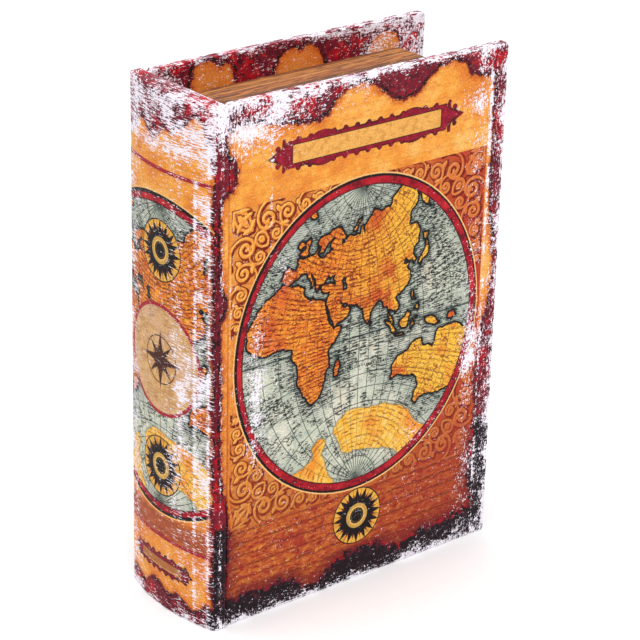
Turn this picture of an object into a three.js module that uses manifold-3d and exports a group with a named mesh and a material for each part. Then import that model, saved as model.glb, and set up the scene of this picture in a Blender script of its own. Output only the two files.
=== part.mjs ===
import * as THREE from 'three';
import { mergeVertices } from 'three/addons/utils/BufferGeometryUtils.js';
import Module from 'manifold-3d';

// A book-shaped safe that stands upright. Millimetres, Z up, X across the covers from the spine to the fore-edge,
// Y from the front cover to the back cover.

const wasm = await Module();
wasm.setup();

// The book as it is seen when closed
const bookHeight = 210;
const coverReach = 139;
const overCovers = 52.4;
const coverThickness = 3.8;
const coverCorner = 2;
const coverEdgeRound = 0.6;
const spineEdge = 5;
const spineBulge = 4.4;
const spineProud = 0.8;
const spineCorner = 1.6;
const hingeGroove = 1;

// The block of pages, which is a frame of four boards
const blockRecess = 12;
const foreEdgeRecess = 13.6;
const blockWall = 7;
const leafBundles = 4;
const bundleNotch = 0.6;
const liningThickness = 0.4;
const liningMargin = 10;
const coverClearance = 0.3;

// The cloth that bends in the two grooves beside the spine
const grooveClothWidth = 0.9;
const grooveClothThickness = 0.5;
const grooveClothDepth = 0.9;
const grooveClothInset = 1;

// The steel box inside the block
const sheet = 1.2;
const boxFit = 0.3;
const boxCorner = 2.4;
const lidDepth = 2.1;
const lidSeat = 0.3;
const flangeDepth = 5;
const flangeFit = 1;
const feltThickness = 2;
const feltMargin = 1.5;
const screwInset = 22;

// The piano hinge of the lid
const knuckleRadius = 1.8;
const pinRadius = 0.9;
const pinClearance = 0.08;
const pinHead = 0.5;
const pinCapShare = 0.8;
const leafThickness = 0.8;
const leafWidth = 9;
const leafGap = 0.4;
const knuckleGap = 0.3;
const knuckleCount = 7;
const hingeMargin = 7;
const knuckleRise = 1;

// The cam lock, its strike and its keys
const lockFromWall = 17;
const lockHeadRadius = 9.5;
const lockHeadThickness = 1.6;
const barrelRadius = 7.8;
const barrelFlats = 13.6;
const barrelLength = 12;
const plugRadius = 5;
const plugClearance = 0.08;
const keywayWidth = 1.4;
const keywayHeight = 6.6;
const keywayDepth = 11;
const nutAcross = 18;
const nutThickness = 3;
const camThickness = 2;
const camWidth = 11;
const camReach = 15;
const camGap = 0.3;
const camTipShare = 0.8;
const camTipRoundShare = 0.4;
const camScrewHeadShare = 0.75;
const tenonSide = 6;
const tenonFit = 0.1;
const strikeWidth = 20;
const strikeLedge = 7;
const strikeLeg = 4;
const strikeGap = 0.5;
const lockFit = 0.1;
const keyThickness = 1.8;
const keyBow = 10;
const keyBowHole = 2.2;
const keyBladeWidth = 6;
const keyBladeLength = 24;
const keyNotch = 1.4;
const keyNotchCount = 4;
const shallowNotchShare = 0.6;
const notchHalfShare = 0.35;
const keyLayerGap = 0.05;

// Screws, magnets and their keepers
const screwHeadRadius = 3.2;
const screwHeadHeight = 1.5;
const screwShank = 1.45;
const screwBite = 2.6;
const screwFit = 0.05;
const crossSlot = 0.8;
const crossReach = 1.9;
const crossDepth = 0.8;
const panHeadShares = [[0, 1], [0.55, 0.93], [0.88, 0.65], [1, 0.2], [1, 0]];
const magnetRadius = 2.5;
const magnetDepth = 3;
const magnetSpread = 60;
const keeperRadius = 6;
const keeperThickness = 0.8;

// How finely round things are faceted
const roundSteps = 24;
const cornerSteps = 5;
const bulgeSteps = 28;

const spineOuter = (spineBulge - coverReach) / 2;
const spineInner = spineOuter + spineEdge;
const foreEdge = spineOuter + coverReach;
const boardStart = spineInner + hingeGroove;
const blockEnd = foreEdge - foreEdgeRecess;
const frontFace = -overCovers / 2;
const frontInner = frontFace + coverThickness;
const backInner = -frontInner;
const liningFace = frontInner + liningThickness;
const blockFront = liningFace + coverClearance;
const blockBottom = blockRecess;
const blockTop = bookHeight - blockRecess;
const boxLeft = spineInner + blockWall + boxFit;
const boxRight = blockEnd - blockWall - boxFit;
const boxBottom = blockBottom + blockWall + boxFit;
const boxTop = blockTop - blockWall - boxFit;
const lidOuter = blockFront + lidDepth;
const lidInner = lidOuter + sheet;
const boxRim = lidInner + lidSeat;
const boxFloor = backInner - sheet;
const feltFace = boxFloor - feltThickness;
const hingeX = boxLeft + sheet + leafThickness;
const hingeY = lidInner - knuckleRise;
const lidStart = hingeX + knuckleRadius + leafGap;
const lockX = boxRight - sheet - lockFromWall;
const lockZ = bookHeight / 2;
const lockFace = lidOuter - lockHeadThickness;
const barrelEnd = lidOuter + barrelLength;
const camFace = barrelEnd + camGap;
const camBack = camFace + camThickness;
const strikeBack = camFace - strikeGap;

const covering = new THREE.MeshStandardMaterial({ color: 0xc98a4c, roughness: 0.7, metalness: 0 });
const pages = new THREE.MeshStandardMaterial({ color: 0xb07a3e, roughness: 0.8, metalness: 0 });
const velvet = new THREE.MeshStandardMaterial({ color: 0x5a1420, roughness: 0.95, metalness: 0 });
const blackSteel = new THREE.MeshStandardMaterial({ color: 0x1f2023, roughness: 0.5, metalness: 0.4 });
const brightSteel = new THREE.MeshStandardMaterial({ color: 0xb8bbc0, roughness: 0.35, metalness: 1 });
const nickel = new THREE.MeshStandardMaterial({ color: 0xd2d3d0, roughness: 0.2, metalness: 1 });
const brass = new THREE.MeshStandardMaterial({ color: 0xc9a452, roughness: 0.3, metalness: 1 });

function solid(geometry) {
  const bare = geometry.clone();
  bare.deleteAttribute('normal');
  bare.deleteAttribute('uv');
  const merged = mergeVertices(bare, bookHeight / 1e7);
  const mesh = new wasm.Mesh({
    numProp: 3,
    vertProperties: new Float32Array(merged.attributes.position.array),
    triVerts: new Uint32Array(merged.index.array),
  });
  return new wasm.Manifold(mesh);
}

function geometryOf(body) {
  const mesh = body.getMesh();
  const geometry = new THREE.BufferGeometry();
  geometry.setAttribute('position', new THREE.BufferAttribute(new Float32Array(mesh.vertProperties), 3));
  geometry.setIndex(new THREE.BufferAttribute(new Uint32Array(mesh.triVerts), 1));
  geometry.computeVertexNormals();
  return geometry;
}

function joined(first, ...others) {
  return geometryOf(others.reduce((whole, piece) => whole.add(solid(piece)), solid(first)));
}

function cut(first, ...tools) {
  return geometryOf(tools.reduce((whole, piece) => whole.subtract(solid(piece)), solid(first)));
}

function piece(name, geometry, material) {
  const mesh = new THREE.Mesh(geometry, material);
  mesh.name = name;
  return mesh;
}

function slab(low, high) {
  const box = new THREE.BoxGeometry(high[0] - low[0], high[1] - low[1], high[2] - low[2]);
  box.translate((low[0] + high[0]) / 2, (low[1] + high[1]) / 2, (low[2] + high[2]) / 2);
  return box;
}

function roundedOutline(left, bottom, right, top, radius) {
  const outline = new THREE.Shape();
  outline.moveTo(left + radius, bottom);
  outline.lineTo(right - radius, bottom);
  outline.absarc(right - radius, bottom + radius, radius, -Math.PI / 2, 0, false);
  outline.lineTo(right, top - radius);
  outline.absarc(right - radius, top - radius, radius, 0, Math.PI / 2, false);
  outline.lineTo(left + radius, top);
  outline.absarc(left + radius, top - radius, radius, Math.PI / 2, Math.PI, false);
  outline.lineTo(left, bottom + radius);
  outline.absarc(left + radius, bottom + radius, radius, Math.PI, Math.PI * 1.5, false);
  return outline;
}

// An outline drawn in X and Z, given thickness from one Y to a larger Y
function acrossY(outline, fromY, toY, edgeRound = 0) {
  const geometry = new THREE.ExtrudeGeometry(outline, {
    depth: toY - fromY - 2 * edgeRound,
    bevelEnabled: edgeRound > 0,
    bevelThickness: edgeRound,
    bevelSize: edgeRound,
    bevelOffset: -edgeRound,
    bevelSegments: 2,
    curveSegments: cornerSteps,
  });
  geometry.rotateX(Math.PI / 2);
  geometry.translate(0, toY - edgeRound, 0);
  return geometry;
}

// An outline drawn in X and Y, given height from one Z to a larger Z
function acrossZ(outline, fromZ, toZ, edgeRound = 0, curveSteps = cornerSteps) {
  const geometry = new THREE.ExtrudeGeometry(outline, {
    depth: toZ - fromZ - 2 * edgeRound,
    bevelEnabled: edgeRound > 0,
    bevelThickness: edgeRound,
    bevelSize: edgeRound,
    bevelOffset: -edgeRound,
    bevelSegments: 2,
    curveSegments: curveSteps,
  });
  geometry.translate(0, 0, fromZ + edgeRound);
  return geometry;
}

// A round bar along Y, for pins, bores and screws that face the front
function rodAlongY(x, z, radius, fromY, toY) {
  const rod = new THREE.CylinderGeometry(radius, radius, toY - fromY, roundSteps);
  rod.translate(x, (fromY + toY) / 2, z);
  return rod;
}

function rodAlongZ(x, y, radius, fromZ, toZ) {
  const rod = new THREE.CylinderGeometry(radius, radius, toZ - fromZ, roundSteps);
  rod.rotateX(Math.PI / 2);
  rod.translate(x, y, (fromZ + toZ) / 2);
  return rod;
}

function screwPlaces() {
  const low = boxBottom + sheet + screwInset;
  const high = boxTop - sheet - screwInset;
  const left = boxLeft + sheet + screwInset;
  const right = boxRight - sheet - screwInset;
  return [[left, low], [right, low], [left, high], [right, high]];
}

function magnetPlaces() {
  const middle = bookHeight / 2;
  const x = blockEnd - blockWall / 2;
  return [[x, middle + magnetSpread], [x, middle - magnetSpread]];
}

// Covers and spine
function coverBoard(fromY, toY) {
  const outline = roundedOutline(boardStart, 0, foreEdge, bookHeight, coverCorner);
  return acrossY(outline, fromY, toY, coverEdgeRound);
}

function backCover() {
  const bores = screwPlaces().map(([x, z]) => {
    return rodAlongY(x, z, screwShank + screwFit, backInner - screwBite, backInner + screwBite + screwFit);
  });
  return cut(coverBoard(backInner, -frontFace), ...bores);
}

function frontCover() {
  const pockets = magnetPlaces().map(([x, z]) => {
    return rodAlongY(x, z, keeperRadius + screwFit, frontInner - keeperThickness, frontInner + keeperThickness);
  });
  return cut(coverBoard(frontFace, frontInner), ...pockets);
}

function spineOutline() {
  const half = overCovers / 2 + spineProud;
  const radius = (half * half + spineBulge * spineBulge) / (2 * spineBulge);
  const outline = new THREE.Shape();
  const bulgeAt = (y) => spineOuter - (Math.sqrt(radius * radius - y * y) - (radius - spineBulge));
  const reach = half - spineCorner;
  outline.moveTo(spineInner, half);
  outline.lineTo(spineOuter + spineCorner, half);
  outline.quadraticCurveTo(spineOuter, half, bulgeAt(reach), reach);
  for (let step = 1; step <= bulgeSteps; step += 1) {
    const y = reach - (2 * reach * step) / bulgeSteps;
    outline.lineTo(bulgeAt(y), y);
  }
  outline.quadraticCurveTo(spineOuter, -half, spineOuter + spineCorner, -half);
  outline.lineTo(spineInner, -half);
  return outline;
}

function spineBoard() {
  return acrossZ(spineOutline(), 0, bookHeight, coverEdgeRound);
}

// A strip of cloth let in behind the outside face of one cover
function grooveCloth(face) {
  const outer = face - Math.sign(face) * grooveClothDepth;
  const inner = outer - Math.sign(face) * grooveClothThickness;
  const low = [spineInner, Math.min(outer, inner), grooveClothInset];
  const high = [spineInner + grooveClothWidth, Math.max(outer, inner), bookHeight - grooveClothInset];
  return slab(low, high);
}

function coverLining() {
  const outline = roundedOutline(
    boardStart + liningMargin / 2,
    liningMargin,
    foreEdge - liningMargin,
    bookHeight - liningMargin,
    coverCorner,
  );
  return acrossY(outline, frontInner, liningFace);
}

// The notches that part the page edges into bundles of leaves, on the head, the tail and the fore-edge: square bars
// that lie with one edge inwards
function bundleNotches() {
  const bar = (length) => new THREE.CylinderGeometry(bundleNotch, bundleNotch, length + 2 * bundleNotch, 4);
  const bars = [];
  for (let seam = 1; seam < leafBundles; seam += 1) {
    const y = blockFront + ((backInner - blockFront) * seam) / leafBundles;
    for (const z of [blockBottom, blockTop]) {
      const level = bar(blockEnd - spineInner);
      level.rotateZ(Math.PI / 2);
      level.translate((spineInner + blockEnd) / 2, y, z);
      bars.push(level);
    }
    const upright = bar(blockTop - blockBottom);
    upright.rotateX(Math.PI / 2);
    upright.translate(blockEnd, y, (blockBottom + blockTop) / 2);
    bars.push(upright);
  }
  return bars;
}

// The frame of page-edge boards
function levelWall(bottom) {
  const board = slab([spineInner, blockFront, bottom], [blockEnd, backInner, bottom + blockWall]);
  return cut(board, ...bundleNotches());
}

function uprightWall(left) {
  const low = [left, blockFront, blockBottom + blockWall];
  const high = [left + blockWall, backInner, blockTop - blockWall];
  return slab(low, high);
}

function foreEdgeWall() {
  const pockets = magnetPlaces().map(([x, z]) => {
    return rodAlongY(x, z, magnetRadius + screwFit, blockFront - magnetDepth, blockFront + magnetDepth + screwFit);
  });
  return cut(uprightWall(blockEnd - blockWall), ...pockets, ...bundleNotches());
}

function magnet([x, z]) {
  return rodAlongY(x, z, magnetRadius, blockFront, blockFront + magnetDepth);
}

function keeper([x, z]) {
  return rodAlongY(x, z, keeperRadius, frontInner - keeperThickness, frontInner);
}

// The steel box and what is fixed in it
function steelBox() {
  const outer = roundedOutline(boxLeft, boxBottom, boxRight, boxTop, boxCorner);
  const inner = roundedOutline(
    boxLeft + sheet,
    boxBottom + sheet,
    boxRight - sheet,
    boxTop - sheet,
    boxCorner - sheet,
  );
  const hingeSide = slab(
    [boxLeft - sheet, boxRim - sheet, boxBottom + boxCorner],
    [hingeX + knuckleRadius, hingeY + knuckleRadius + knuckleGap, boxTop - boxCorner],
  );
  const bores = screwPlaces().map(([x, z]) => {
    return rodAlongY(x, z, screwShank + lockFit, boxFloor - sheet, backInner + sheet);
  });
  return cut(acrossY(outer, boxRim, backInner), acrossY(inner, boxRim - sheet, boxFloor), hingeSide, ...bores);
}

function feltPad() {
  const outline = roundedOutline(
    boxLeft + sheet + feltMargin,
    boxBottom + sheet + feltMargin,
    boxRight - sheet - feltMargin,
    boxTop - sheet - feltMargin,
    boxCorner,
  );
  screwPlaces().forEach(([x, z]) => {
    const hole = new THREE.Path();
    hole.absarc(x, z, screwHeadRadius + feltMargin / 2, 0, Math.PI * 2, true);
    outline.holes.push(hole);
  });
  return acrossY(outline, feltFace, boxFloor);
}

// A pan-head screw whose head lies on the floor of the steel box
function boxScrew([x, z]) {
  const tip = backInner + screwBite;
  const head = panHeadShares.map(([across, above]) => {
    return new THREE.Vector2(screwHeadRadius * across, boxFloor - screwHeadHeight * above);
  });
  const profile = [
    ...head,
    new THREE.Vector2(screwShank, boxFloor),
    new THREE.Vector2(screwShank, tip - screwShank / 2),
    new THREE.Vector2(0, tip),
  ];
  const turned = new THREE.LatheGeometry(profile, roundSteps);
  turned.translate(x, 0, z);
  const top = boxFloor - screwHeadHeight;
  const slots = [[crossReach, crossSlot / 2], [crossSlot / 2, crossReach]].map(([wide, tall]) => {
    return slab([x - wide, top - crossDepth, z - tall], [x + wide, top + crossDepth, z + tall]);
  });
  return cut(turned, ...slots);
}

function strike() {
  const wall = boxRight - sheet;
  const low = lockZ - strikeWidth / 2;
  const high = lockZ + strikeWidth / 2;
  const leg = slab([wall - sheet, strikeBack - strikeLeg, low], [wall, strikeBack, high]);
  const ledge = slab([wall - strikeLedge, strikeBack - sheet, low], [wall, strikeBack, high]);
  return joined(leg, ledge);
}

// The piano hinge: the box has the first, third, fifth and seventh knuckles, and the lid the others
function knuckleSpans(first) {
  const low = boxBottom + hingeMargin;
  const pitch = (boxTop - hingeMargin - low) / knuckleCount;
  const spans = [];
  for (let index = first; index < knuckleCount; index += 2) {
    spans.push([low + pitch * index + knuckleGap / 2, low + pitch * (index + 1) - knuckleGap / 2]);
  }
  return spans;
}

function hingeLeaf(first, strip, tabFor) {
  const parts = [strip];
  knuckleSpans(first).forEach(([low, high]) => {
    parts.push(tabFor(low, high));
    parts.push(rodAlongZ(hingeX, hingeY, knuckleRadius, low, high));
  });
  const leaf = joined(...parts);
  return cut(leaf, rodAlongZ(hingeX, hingeY, pinRadius + pinClearance, boxBottom, boxTop));
}

function boxLeaf() {
  const left = boxLeft + sheet;
  const right = left + leafThickness;
  const start = hingeY + knuckleRadius + knuckleGap;
  const strip = slab([left, start, boxBottom + hingeMargin], [right, start + leafWidth, boxTop - hingeMargin]);
  return hingeLeaf(0, strip, (low, high) => slab([left, hingeY, low], [right, start, high]));
}

function lidLeaf() {
  const back = lidInner + leafThickness;
  const strip = slab(
    [lidStart, lidInner, boxBottom + hingeMargin],
    [lidStart + leafWidth, back, boxTop - hingeMargin],
  );
  return hingeLeaf(1, strip, (low, high) => slab([hingeX, lidInner, low], [lidStart, back, high]));
}

function hingePin() {
  const low = boxBottom + hingeMargin - knuckleGap;
  const high = boxTop - hingeMargin + knuckleGap;
  const shaft = rodAlongZ(hingeX, hingeY, pinRadius, low, high);
  const caps = [[low - pinHead, low + knuckleGap / 2], [high - knuckleGap / 2, high + pinHead]];
  return joined(shaft, ...caps.map(([from, to]) => rodAlongZ(hingeX, hingeY, knuckleRadius * pinCapShare, from, to)));
}

// The lid and its lock
function doubleD(radius, across) {
  const shoulder = Math.sqrt(radius * radius - (across * across) / 4);
  const start = Math.atan2(across / 2, shoulder);
  const outline = new THREE.Shape();
  outline.absarc(lockX, lockZ, radius, -start, start, false);
  outline.absarc(lockX, lockZ, radius, Math.PI - start, Math.PI + start, false);
  return outline;
}

function lidPanel() {
  const outline = new THREE.Shape();
  outline.moveTo(lidStart, boxBottom);
  outline.lineTo(boxRight - boxCorner, boxBottom);
  outline.absarc(boxRight - boxCorner, boxBottom + boxCorner, boxCorner, -Math.PI / 2, 0, false);
  outline.lineTo(boxRight, boxTop - boxCorner);
  outline.absarc(boxRight - boxCorner, boxTop - boxCorner, boxCorner, 0, Math.PI / 2, false);
  outline.lineTo(lidStart, boxTop);
  return acrossY(outline, lidOuter, lidInner);
}

function safeLid() {
  const inset = sheet + flangeFit;
  const low = boxBottom + inset;
  const high = boxTop - inset;
  const right = boxRight - inset;
  const left = lidStart + leafWidth + leafGap;
  const back = lidInner + flangeDepth;
  const flanges = [
    slab([left, lidInner - sheet / 2, low], [right, back, low + sheet]),
    slab([left, lidInner - sheet / 2, high - sheet], [right, back, high]),
    slab([right - sheet, lidInner - sheet / 2, low], [right, back, high]),
  ];
  const hole = doubleD(barrelRadius + lockFit, barrelFlats + 2 * lockFit);
  return cut(joined(lidPanel(), ...flanges), acrossY(hole, lidOuter - sheet, lidInner + sheet));
}

function lockBarrel() {
  const head = rodAlongY(lockX, lockZ, lockHeadRadius, lockFace, lidOuter);
  const chamfered = new THREE.LatheGeometry([
    new THREE.Vector2(0, lockFace),
    new THREE.Vector2(lockHeadRadius - lockHeadThickness / 2, lockFace),
    new THREE.Vector2(lockHeadRadius, lockFace + lockHeadThickness / 2),
    new THREE.Vector2(lockHeadRadius, lidOuter),
    new THREE.Vector2(0, lidOuter),
  ], roundSteps);
  chamfered.translate(lockX, 0, lockZ);
  const headBody = solid(head).intersect(solid(chamfered));
  const barrel = acrossY(doubleD(barrelRadius, barrelFlats), lidOuter - lockHeadThickness / 2, barrelEnd);
  const bore = rodAlongY(lockX, lockZ, plugRadius + plugClearance, lockFace - sheet, barrelEnd + sheet);
  return geometryOf(headBody.add(solid(barrel)).subtract(solid(bore)));
}

function lockNut() {
  const outline = new THREE.Shape();
  const corner = nutAcross / 2 / Math.cos(Math.PI / 6);
  for (let index = 0; index < 6; index += 1) {
    const angle = (index * Math.PI) / 3;
    const x = lockX + corner * Math.cos(angle);
    const z = lockZ + corner * Math.sin(angle);
    if (index === 0) outline.moveTo(x, z);
    else outline.lineTo(x, z);
  }
  const blank = acrossY(outline, lidInner, lidInner + nutThickness);
  return cut(blank, rodAlongY(lockX, lockZ, barrelRadius + lockFit, lidInner - sheet, barrelEnd));
}

function lockPlug() {
  const rod = rodAlongY(lockX, lockZ, plugRadius, lockFace, camFace);
  const half = tenonSide / 2;
  const tenon = slab([lockX - half, barrelEnd, lockZ - half], [lockX + half, camBack, lockZ + half]);
  const keyway = slab(
    [lockX - keywayWidth / 2, lockFace - sheet, lockZ - keywayHeight / 2],
    [lockX + keywayWidth / 2, lockFace + keywayDepth, lockZ + keywayHeight / 2],
  );
  const bore = rodAlongY(lockX, lockZ, screwShank + screwFit, camFace - screwFit, camBack + sheet);
  return cut(joined(rod, tenon), keyway, bore);
}

// The cam hangs down beside the strike while the lock is open
function lockCam() {
  const half = camWidth / 2;
  const tip = half * camTipShare;
  const round = half * camTipRoundShare;
  const low = lockZ - camReach;
  const outline = new THREE.Shape();
  outline.moveTo(lockX + half, lockZ);
  outline.absarc(lockX, lockZ, half, 0, Math.PI, false);
  outline.lineTo(lockX - tip, low + round);
  outline.quadraticCurveTo(lockX - tip, low, lockX - tip + round, low);
  outline.lineTo(lockX + tip - round, low);
  outline.quadraticCurveTo(lockX + tip, low, lockX + tip, low + round);
  const hole = tenonSide / 2 + tenonFit;
  const tenonHole = slab(
    [lockX - hole, camFace - sheet, lockZ - hole],
    [lockX + hole, camBack + sheet, lockZ + hole],
  );
  return cut(acrossY(outline, camFace, camBack), tenonHole);
}

function camScrew() {
  const headRadius = tenonSide * camScrewHeadShare;
  const profile = [
    new THREE.Vector2(0, camFace),
    new THREE.Vector2(screwShank, camFace),
    new THREE.Vector2(screwShank, camBack),
    new THREE.Vector2(headRadius, camBack),
    new THREE.Vector2(headRadius, camBack + screwHeadHeight * 0.6),
    new THREE.Vector2(headRadius * 0.8, camBack + screwHeadHeight),
    new THREE.Vector2(0, camBack + screwHeadHeight),
  ];
  const turned = new THREE.LatheGeometry(profile, roundSteps);
  turned.translate(lockX, 0, lockZ);
  const end = camBack + screwHeadHeight;
  const slot = slab(
    [lockX - headRadius * 2, end - crossDepth, lockZ - crossSlot / 2],
    [lockX + headRadius * 2, end + crossDepth, lockZ + crossSlot / 2],
  );
  return cut(turned, slot);
}

// A flat key that lies on the lowest wall of the steel box, or on the key below it
function key(layer, turn) {
  const outline = new THREE.Shape();
  const half = keyBladeWidth / 2;
  const shoulder = Math.sqrt(keyBow * keyBow - half * half);
  const start = Math.atan2(half, shoulder);
  const tip = shoulder + keyBladeLength;
  outline.absarc(0, 0, keyBow, start, Math.PI * 2 - start, false);
  outline.lineTo(tip - half, -half);
  outline.lineTo(tip, 0);
  outline.lineTo(tip - half, half);
  const pitch = (keyBladeLength - 2 * half) / (keyNotchCount + 1);
  for (let notch = keyNotchCount; notch >= 1; notch -= 1) {
    const middle = shoulder + half + pitch * notch;
    const deep = half - keyNotch * (notch % 2 === 0 ? 1 : shallowNotchShare);
    outline.lineTo(middle + pitch * notchHalfShare, half);
    outline.lineTo(middle, deep);
    outline.lineTo(middle - pitch * notchHalfShare, half);
  }
  const hole = new THREE.Path();
  hole.absarc(-keyBow / 2, 0, keyBowHole, 0, Math.PI * 2, true);
  outline.holes.push(hole);
  const blank = acrossZ(outline, 0, keyThickness, 0, roundSteps / 2);
  blank.rotateZ(turn);
  const x = boxLeft + sheet + keyBow * 2;
  const y = (lidInner + flangeDepth + feltFace) / 2;
  blank.translate(x, y, boxBottom + sheet + layer * (keyThickness + keyLayerGap));
  return blank;
}

function makeSafe() {
  const safe = new THREE.Group();
  safe.name = 'book_safe';
  const add = (name, geometry, material) => safe.add(piece(name, geometry, material));
  add('back_cover_board', backCover(), covering);
  add('spine_board', spineBoard(), covering);
  add('front_cover_board', frontCover(), covering);
  add('back_groove_cloth', grooveCloth(-frontFace), covering);
  add('front_groove_cloth', grooveCloth(frontFace), covering);
  add('front_cover_lining', coverLining(), velvet);
  add('page_wall_head', levelWall(blockTop - blockWall), pages);
  add('page_wall_tail', levelWall(blockBottom), pages);
  add('page_wall_spine', uprightWall(spineInner), pages);
  add('page_wall_fore_edge', foreEdgeWall(), pages);
  magnetPlaces().forEach((place, index) => {
    const end = index === 0 ? 'upper' : 'lower';
    add(`magnet_${end}`, magnet(place), nickel);
    add(`keeper_${end}`, keeper(place), brightSteel);
  });
  add('steel_box', steelBox(), blackSteel);
  add('felt_pad', feltPad(), velvet);
  screwPlaces().forEach((place, index) => add(`box_screw_${index + 1}`, boxScrew(place), brightSteel));
  add('box_hinge_leaf', boxLeaf(), blackSteel);
  add('lid_hinge_leaf', lidLeaf(), blackSteel);
  add('hinge_pin', hingePin(), brightSteel);
  add('lock_strike', strike(), brightSteel);
  add('safe_lid', safeLid(), blackSteel);
  add('lock_barrel', lockBarrel(), nickel);
  add('lock_nut', lockNut(), brightSteel);
  add('lock_plug', lockPlug(), nickel);
  add('lock_cam', lockCam(), brightSteel);
  add('cam_screw', camScrew(), brightSteel);
  [-Math.PI / 20, Math.PI / 14].forEach((turn, layer) => add(`key_${layer + 1}`, key(layer, turn), brass));
  return safe;
}

export default makeSafe();
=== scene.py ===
"""A book that hides a steel cash box. It is closed and stands on its tail, and an old world chart is printed
on its cloth."""
import math
from types import SimpleNamespace

import bmesh
import bpy
import numpy as np
from mathutils import Matrix, Vector


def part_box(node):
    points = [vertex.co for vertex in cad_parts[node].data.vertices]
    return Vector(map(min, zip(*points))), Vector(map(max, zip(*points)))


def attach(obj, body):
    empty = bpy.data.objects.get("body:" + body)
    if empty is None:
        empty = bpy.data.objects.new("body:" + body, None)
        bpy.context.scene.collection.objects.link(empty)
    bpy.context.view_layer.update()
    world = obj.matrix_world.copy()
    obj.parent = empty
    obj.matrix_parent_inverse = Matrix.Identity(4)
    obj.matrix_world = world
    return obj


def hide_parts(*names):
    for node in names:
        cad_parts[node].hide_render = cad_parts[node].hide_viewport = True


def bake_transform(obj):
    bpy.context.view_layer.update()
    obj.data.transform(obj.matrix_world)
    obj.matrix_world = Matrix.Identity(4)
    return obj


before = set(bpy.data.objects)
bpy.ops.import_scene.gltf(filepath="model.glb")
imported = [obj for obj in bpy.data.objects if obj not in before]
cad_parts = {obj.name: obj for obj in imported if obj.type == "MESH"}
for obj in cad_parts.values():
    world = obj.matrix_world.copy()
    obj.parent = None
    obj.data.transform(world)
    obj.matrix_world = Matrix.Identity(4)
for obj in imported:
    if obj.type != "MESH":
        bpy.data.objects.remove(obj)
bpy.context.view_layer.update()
MM = 0.001


def box_mm(node):
    """The lowest and highest corner of a solid, in millimetres."""
    low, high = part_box(node)
    return np.array(low) / MM, np.array(high) / MM


# The camera, fitted to the photograph: stand in metres, sensor in millimetres, focal length in pixels
YAW, PITCH, ROLL = math.radians(39.384), math.radians(23.323), math.radians(1.387)
STAND = (-0.5628, -0.68936, 0.48706)
SENSOR, FOCAL_PIXELS, PICTURE = 36.0, 2493.44, 640


def place_camera():
    """The camera looks along yaw and pitch from its stand, and is rolled a little about that line."""
    ahead = Vector((math.sin(YAW) * math.cos(PITCH), math.cos(YAW) * math.cos(PITCH), -math.sin(PITCH)))
    level = Vector((math.cos(YAW), -math.sin(YAW), 0))
    over = level.cross(ahead)
    right = math.cos(ROLL) * level + math.sin(ROLL) * over
    above = -math.sin(ROLL) * level + math.cos(ROLL) * over
    lens = bpy.data.cameras.new("camera")
    lens.sensor_width, lens.lens = SENSOR, FOCAL_PIXELS * SENSOR / PICTURE
    camera = bpy.data.objects.new("camera", lens)
    turn = Matrix((right, above, -ahead)).transposed().to_4x4()
    camera.matrix_world = Matrix.Translation(STAND) @ turn
    bpy.context.scene.collection.objects.link(camera)
    bpy.context.scene.camera = camera


# The printed drawing, in millimetres on the cloth.
# Across is counted from the spine's face towards the fore-edge, and up from the tail.
CLOTH_HEIGHT, CLOTH_REACH = 210.0, 139.0
# The edge at the head, from the corner of the face to the flat wall, and the wall's end behind
HEAD_EDGE, HEAD_BACK = (209.4, 210.2), (214.5, 213.5)
CHART_MIDDLE = np.array([68.5, 105.6])
CHART_REACH = np.array([56.0, 61.0])
RIM_REACH = np.array([60.3, 65.3])
MIDDLE_MERIDIAN = 70.0
PANEL_LOW, PANEL_HIGH = np.array([7.0, 40.0]), np.array([130.0, 170.0])
# Below this the parchment has ruled lines
RULED_TOP, SPINE_RULED_FOOT = 41.0, 30.5
ROSE_MIDDLE, ROSE_REACH = (70.0, 28.0), 12.7
# Banners: the middle, half the size and the pitch of the beads. Labels: the low and the high corner
FRONT_BANNER, FRONT_LABEL = ((70.0, 185.8), (38.5, 5.3), 5.5), ((34.5, 182.3), (105.5, 189.3))
SPINE_BANNER, SPINE_LABEL = ((-3.0, 18.8), (14.6, 3.3), 4.2), ((-16.0, 16.9), (10.3, 20.4))
BACK_BANNER, BACK_LABEL = ((68.5, 185.8), (30.0, 4.2), 5.0), ((41.0, 183.2), (96.0, 188.4))
# The spine counts across from its own middle line, where the chart's middle lies a little towards the back
SPINE_SHIFT = -2.0
SPINE_ROUNDEL, SPINE_ROUNDEL_REACH = (SPINE_SHIFT, 104.7), 22.6
SPINE_ROSES = [(SPINE_SHIFT, 148.5), (SPINE_SHIFT, 60.6)]
SPINE_RULE = 180.1
BACK_ROUNDEL, BACK_ROUNDEL_REACH, BACK_COMPASS_SCALE = (68.5, 112.0), 38.0, 1.7
BACK_FRAME, BACK_FRAME_GAP = ((20.0, 58.0), (117.0, 166.0)), 2.2
# The tone that marks the spine's label, whose strip is browner
LABEL_TONE = 2.0
# A distance that stands for nowhere near
FAR = 9.0
# What the numbers of each printed field are called
PRINTED_FIELDS = {
    "cloth": ("across", "up"), "chart": ("land", "south", "rim"), "net": ("longitude", "latitude", "tens"),
    "ornament": ("scroll", "banner", "label"), "edge": ("burn", "char", "tone"),
    "wear": ("rub", "rule", "upright"), "ground": ("panel", "low", "roundel"), "relief": ("shade", "dense"),
}
# The tropics in tens of degrees, and the weave in radians to the millimetre, a thread every 0.35 mm
TROPIC, THREADS = 2.35, 9.0
# The compass: its ring, and the sector, turn, length and half the foot of each kind of needle
COMPASS_RING = 9.5
COMPASS_NEEDLES = [
    (math.pi / 4, 0.0, 12.2, 2.2), (math.pi / 4, math.pi / 4, 9.8, 2.0), (math.pi / 8, math.pi / 8, 5.8, 1.2),
]
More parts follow.
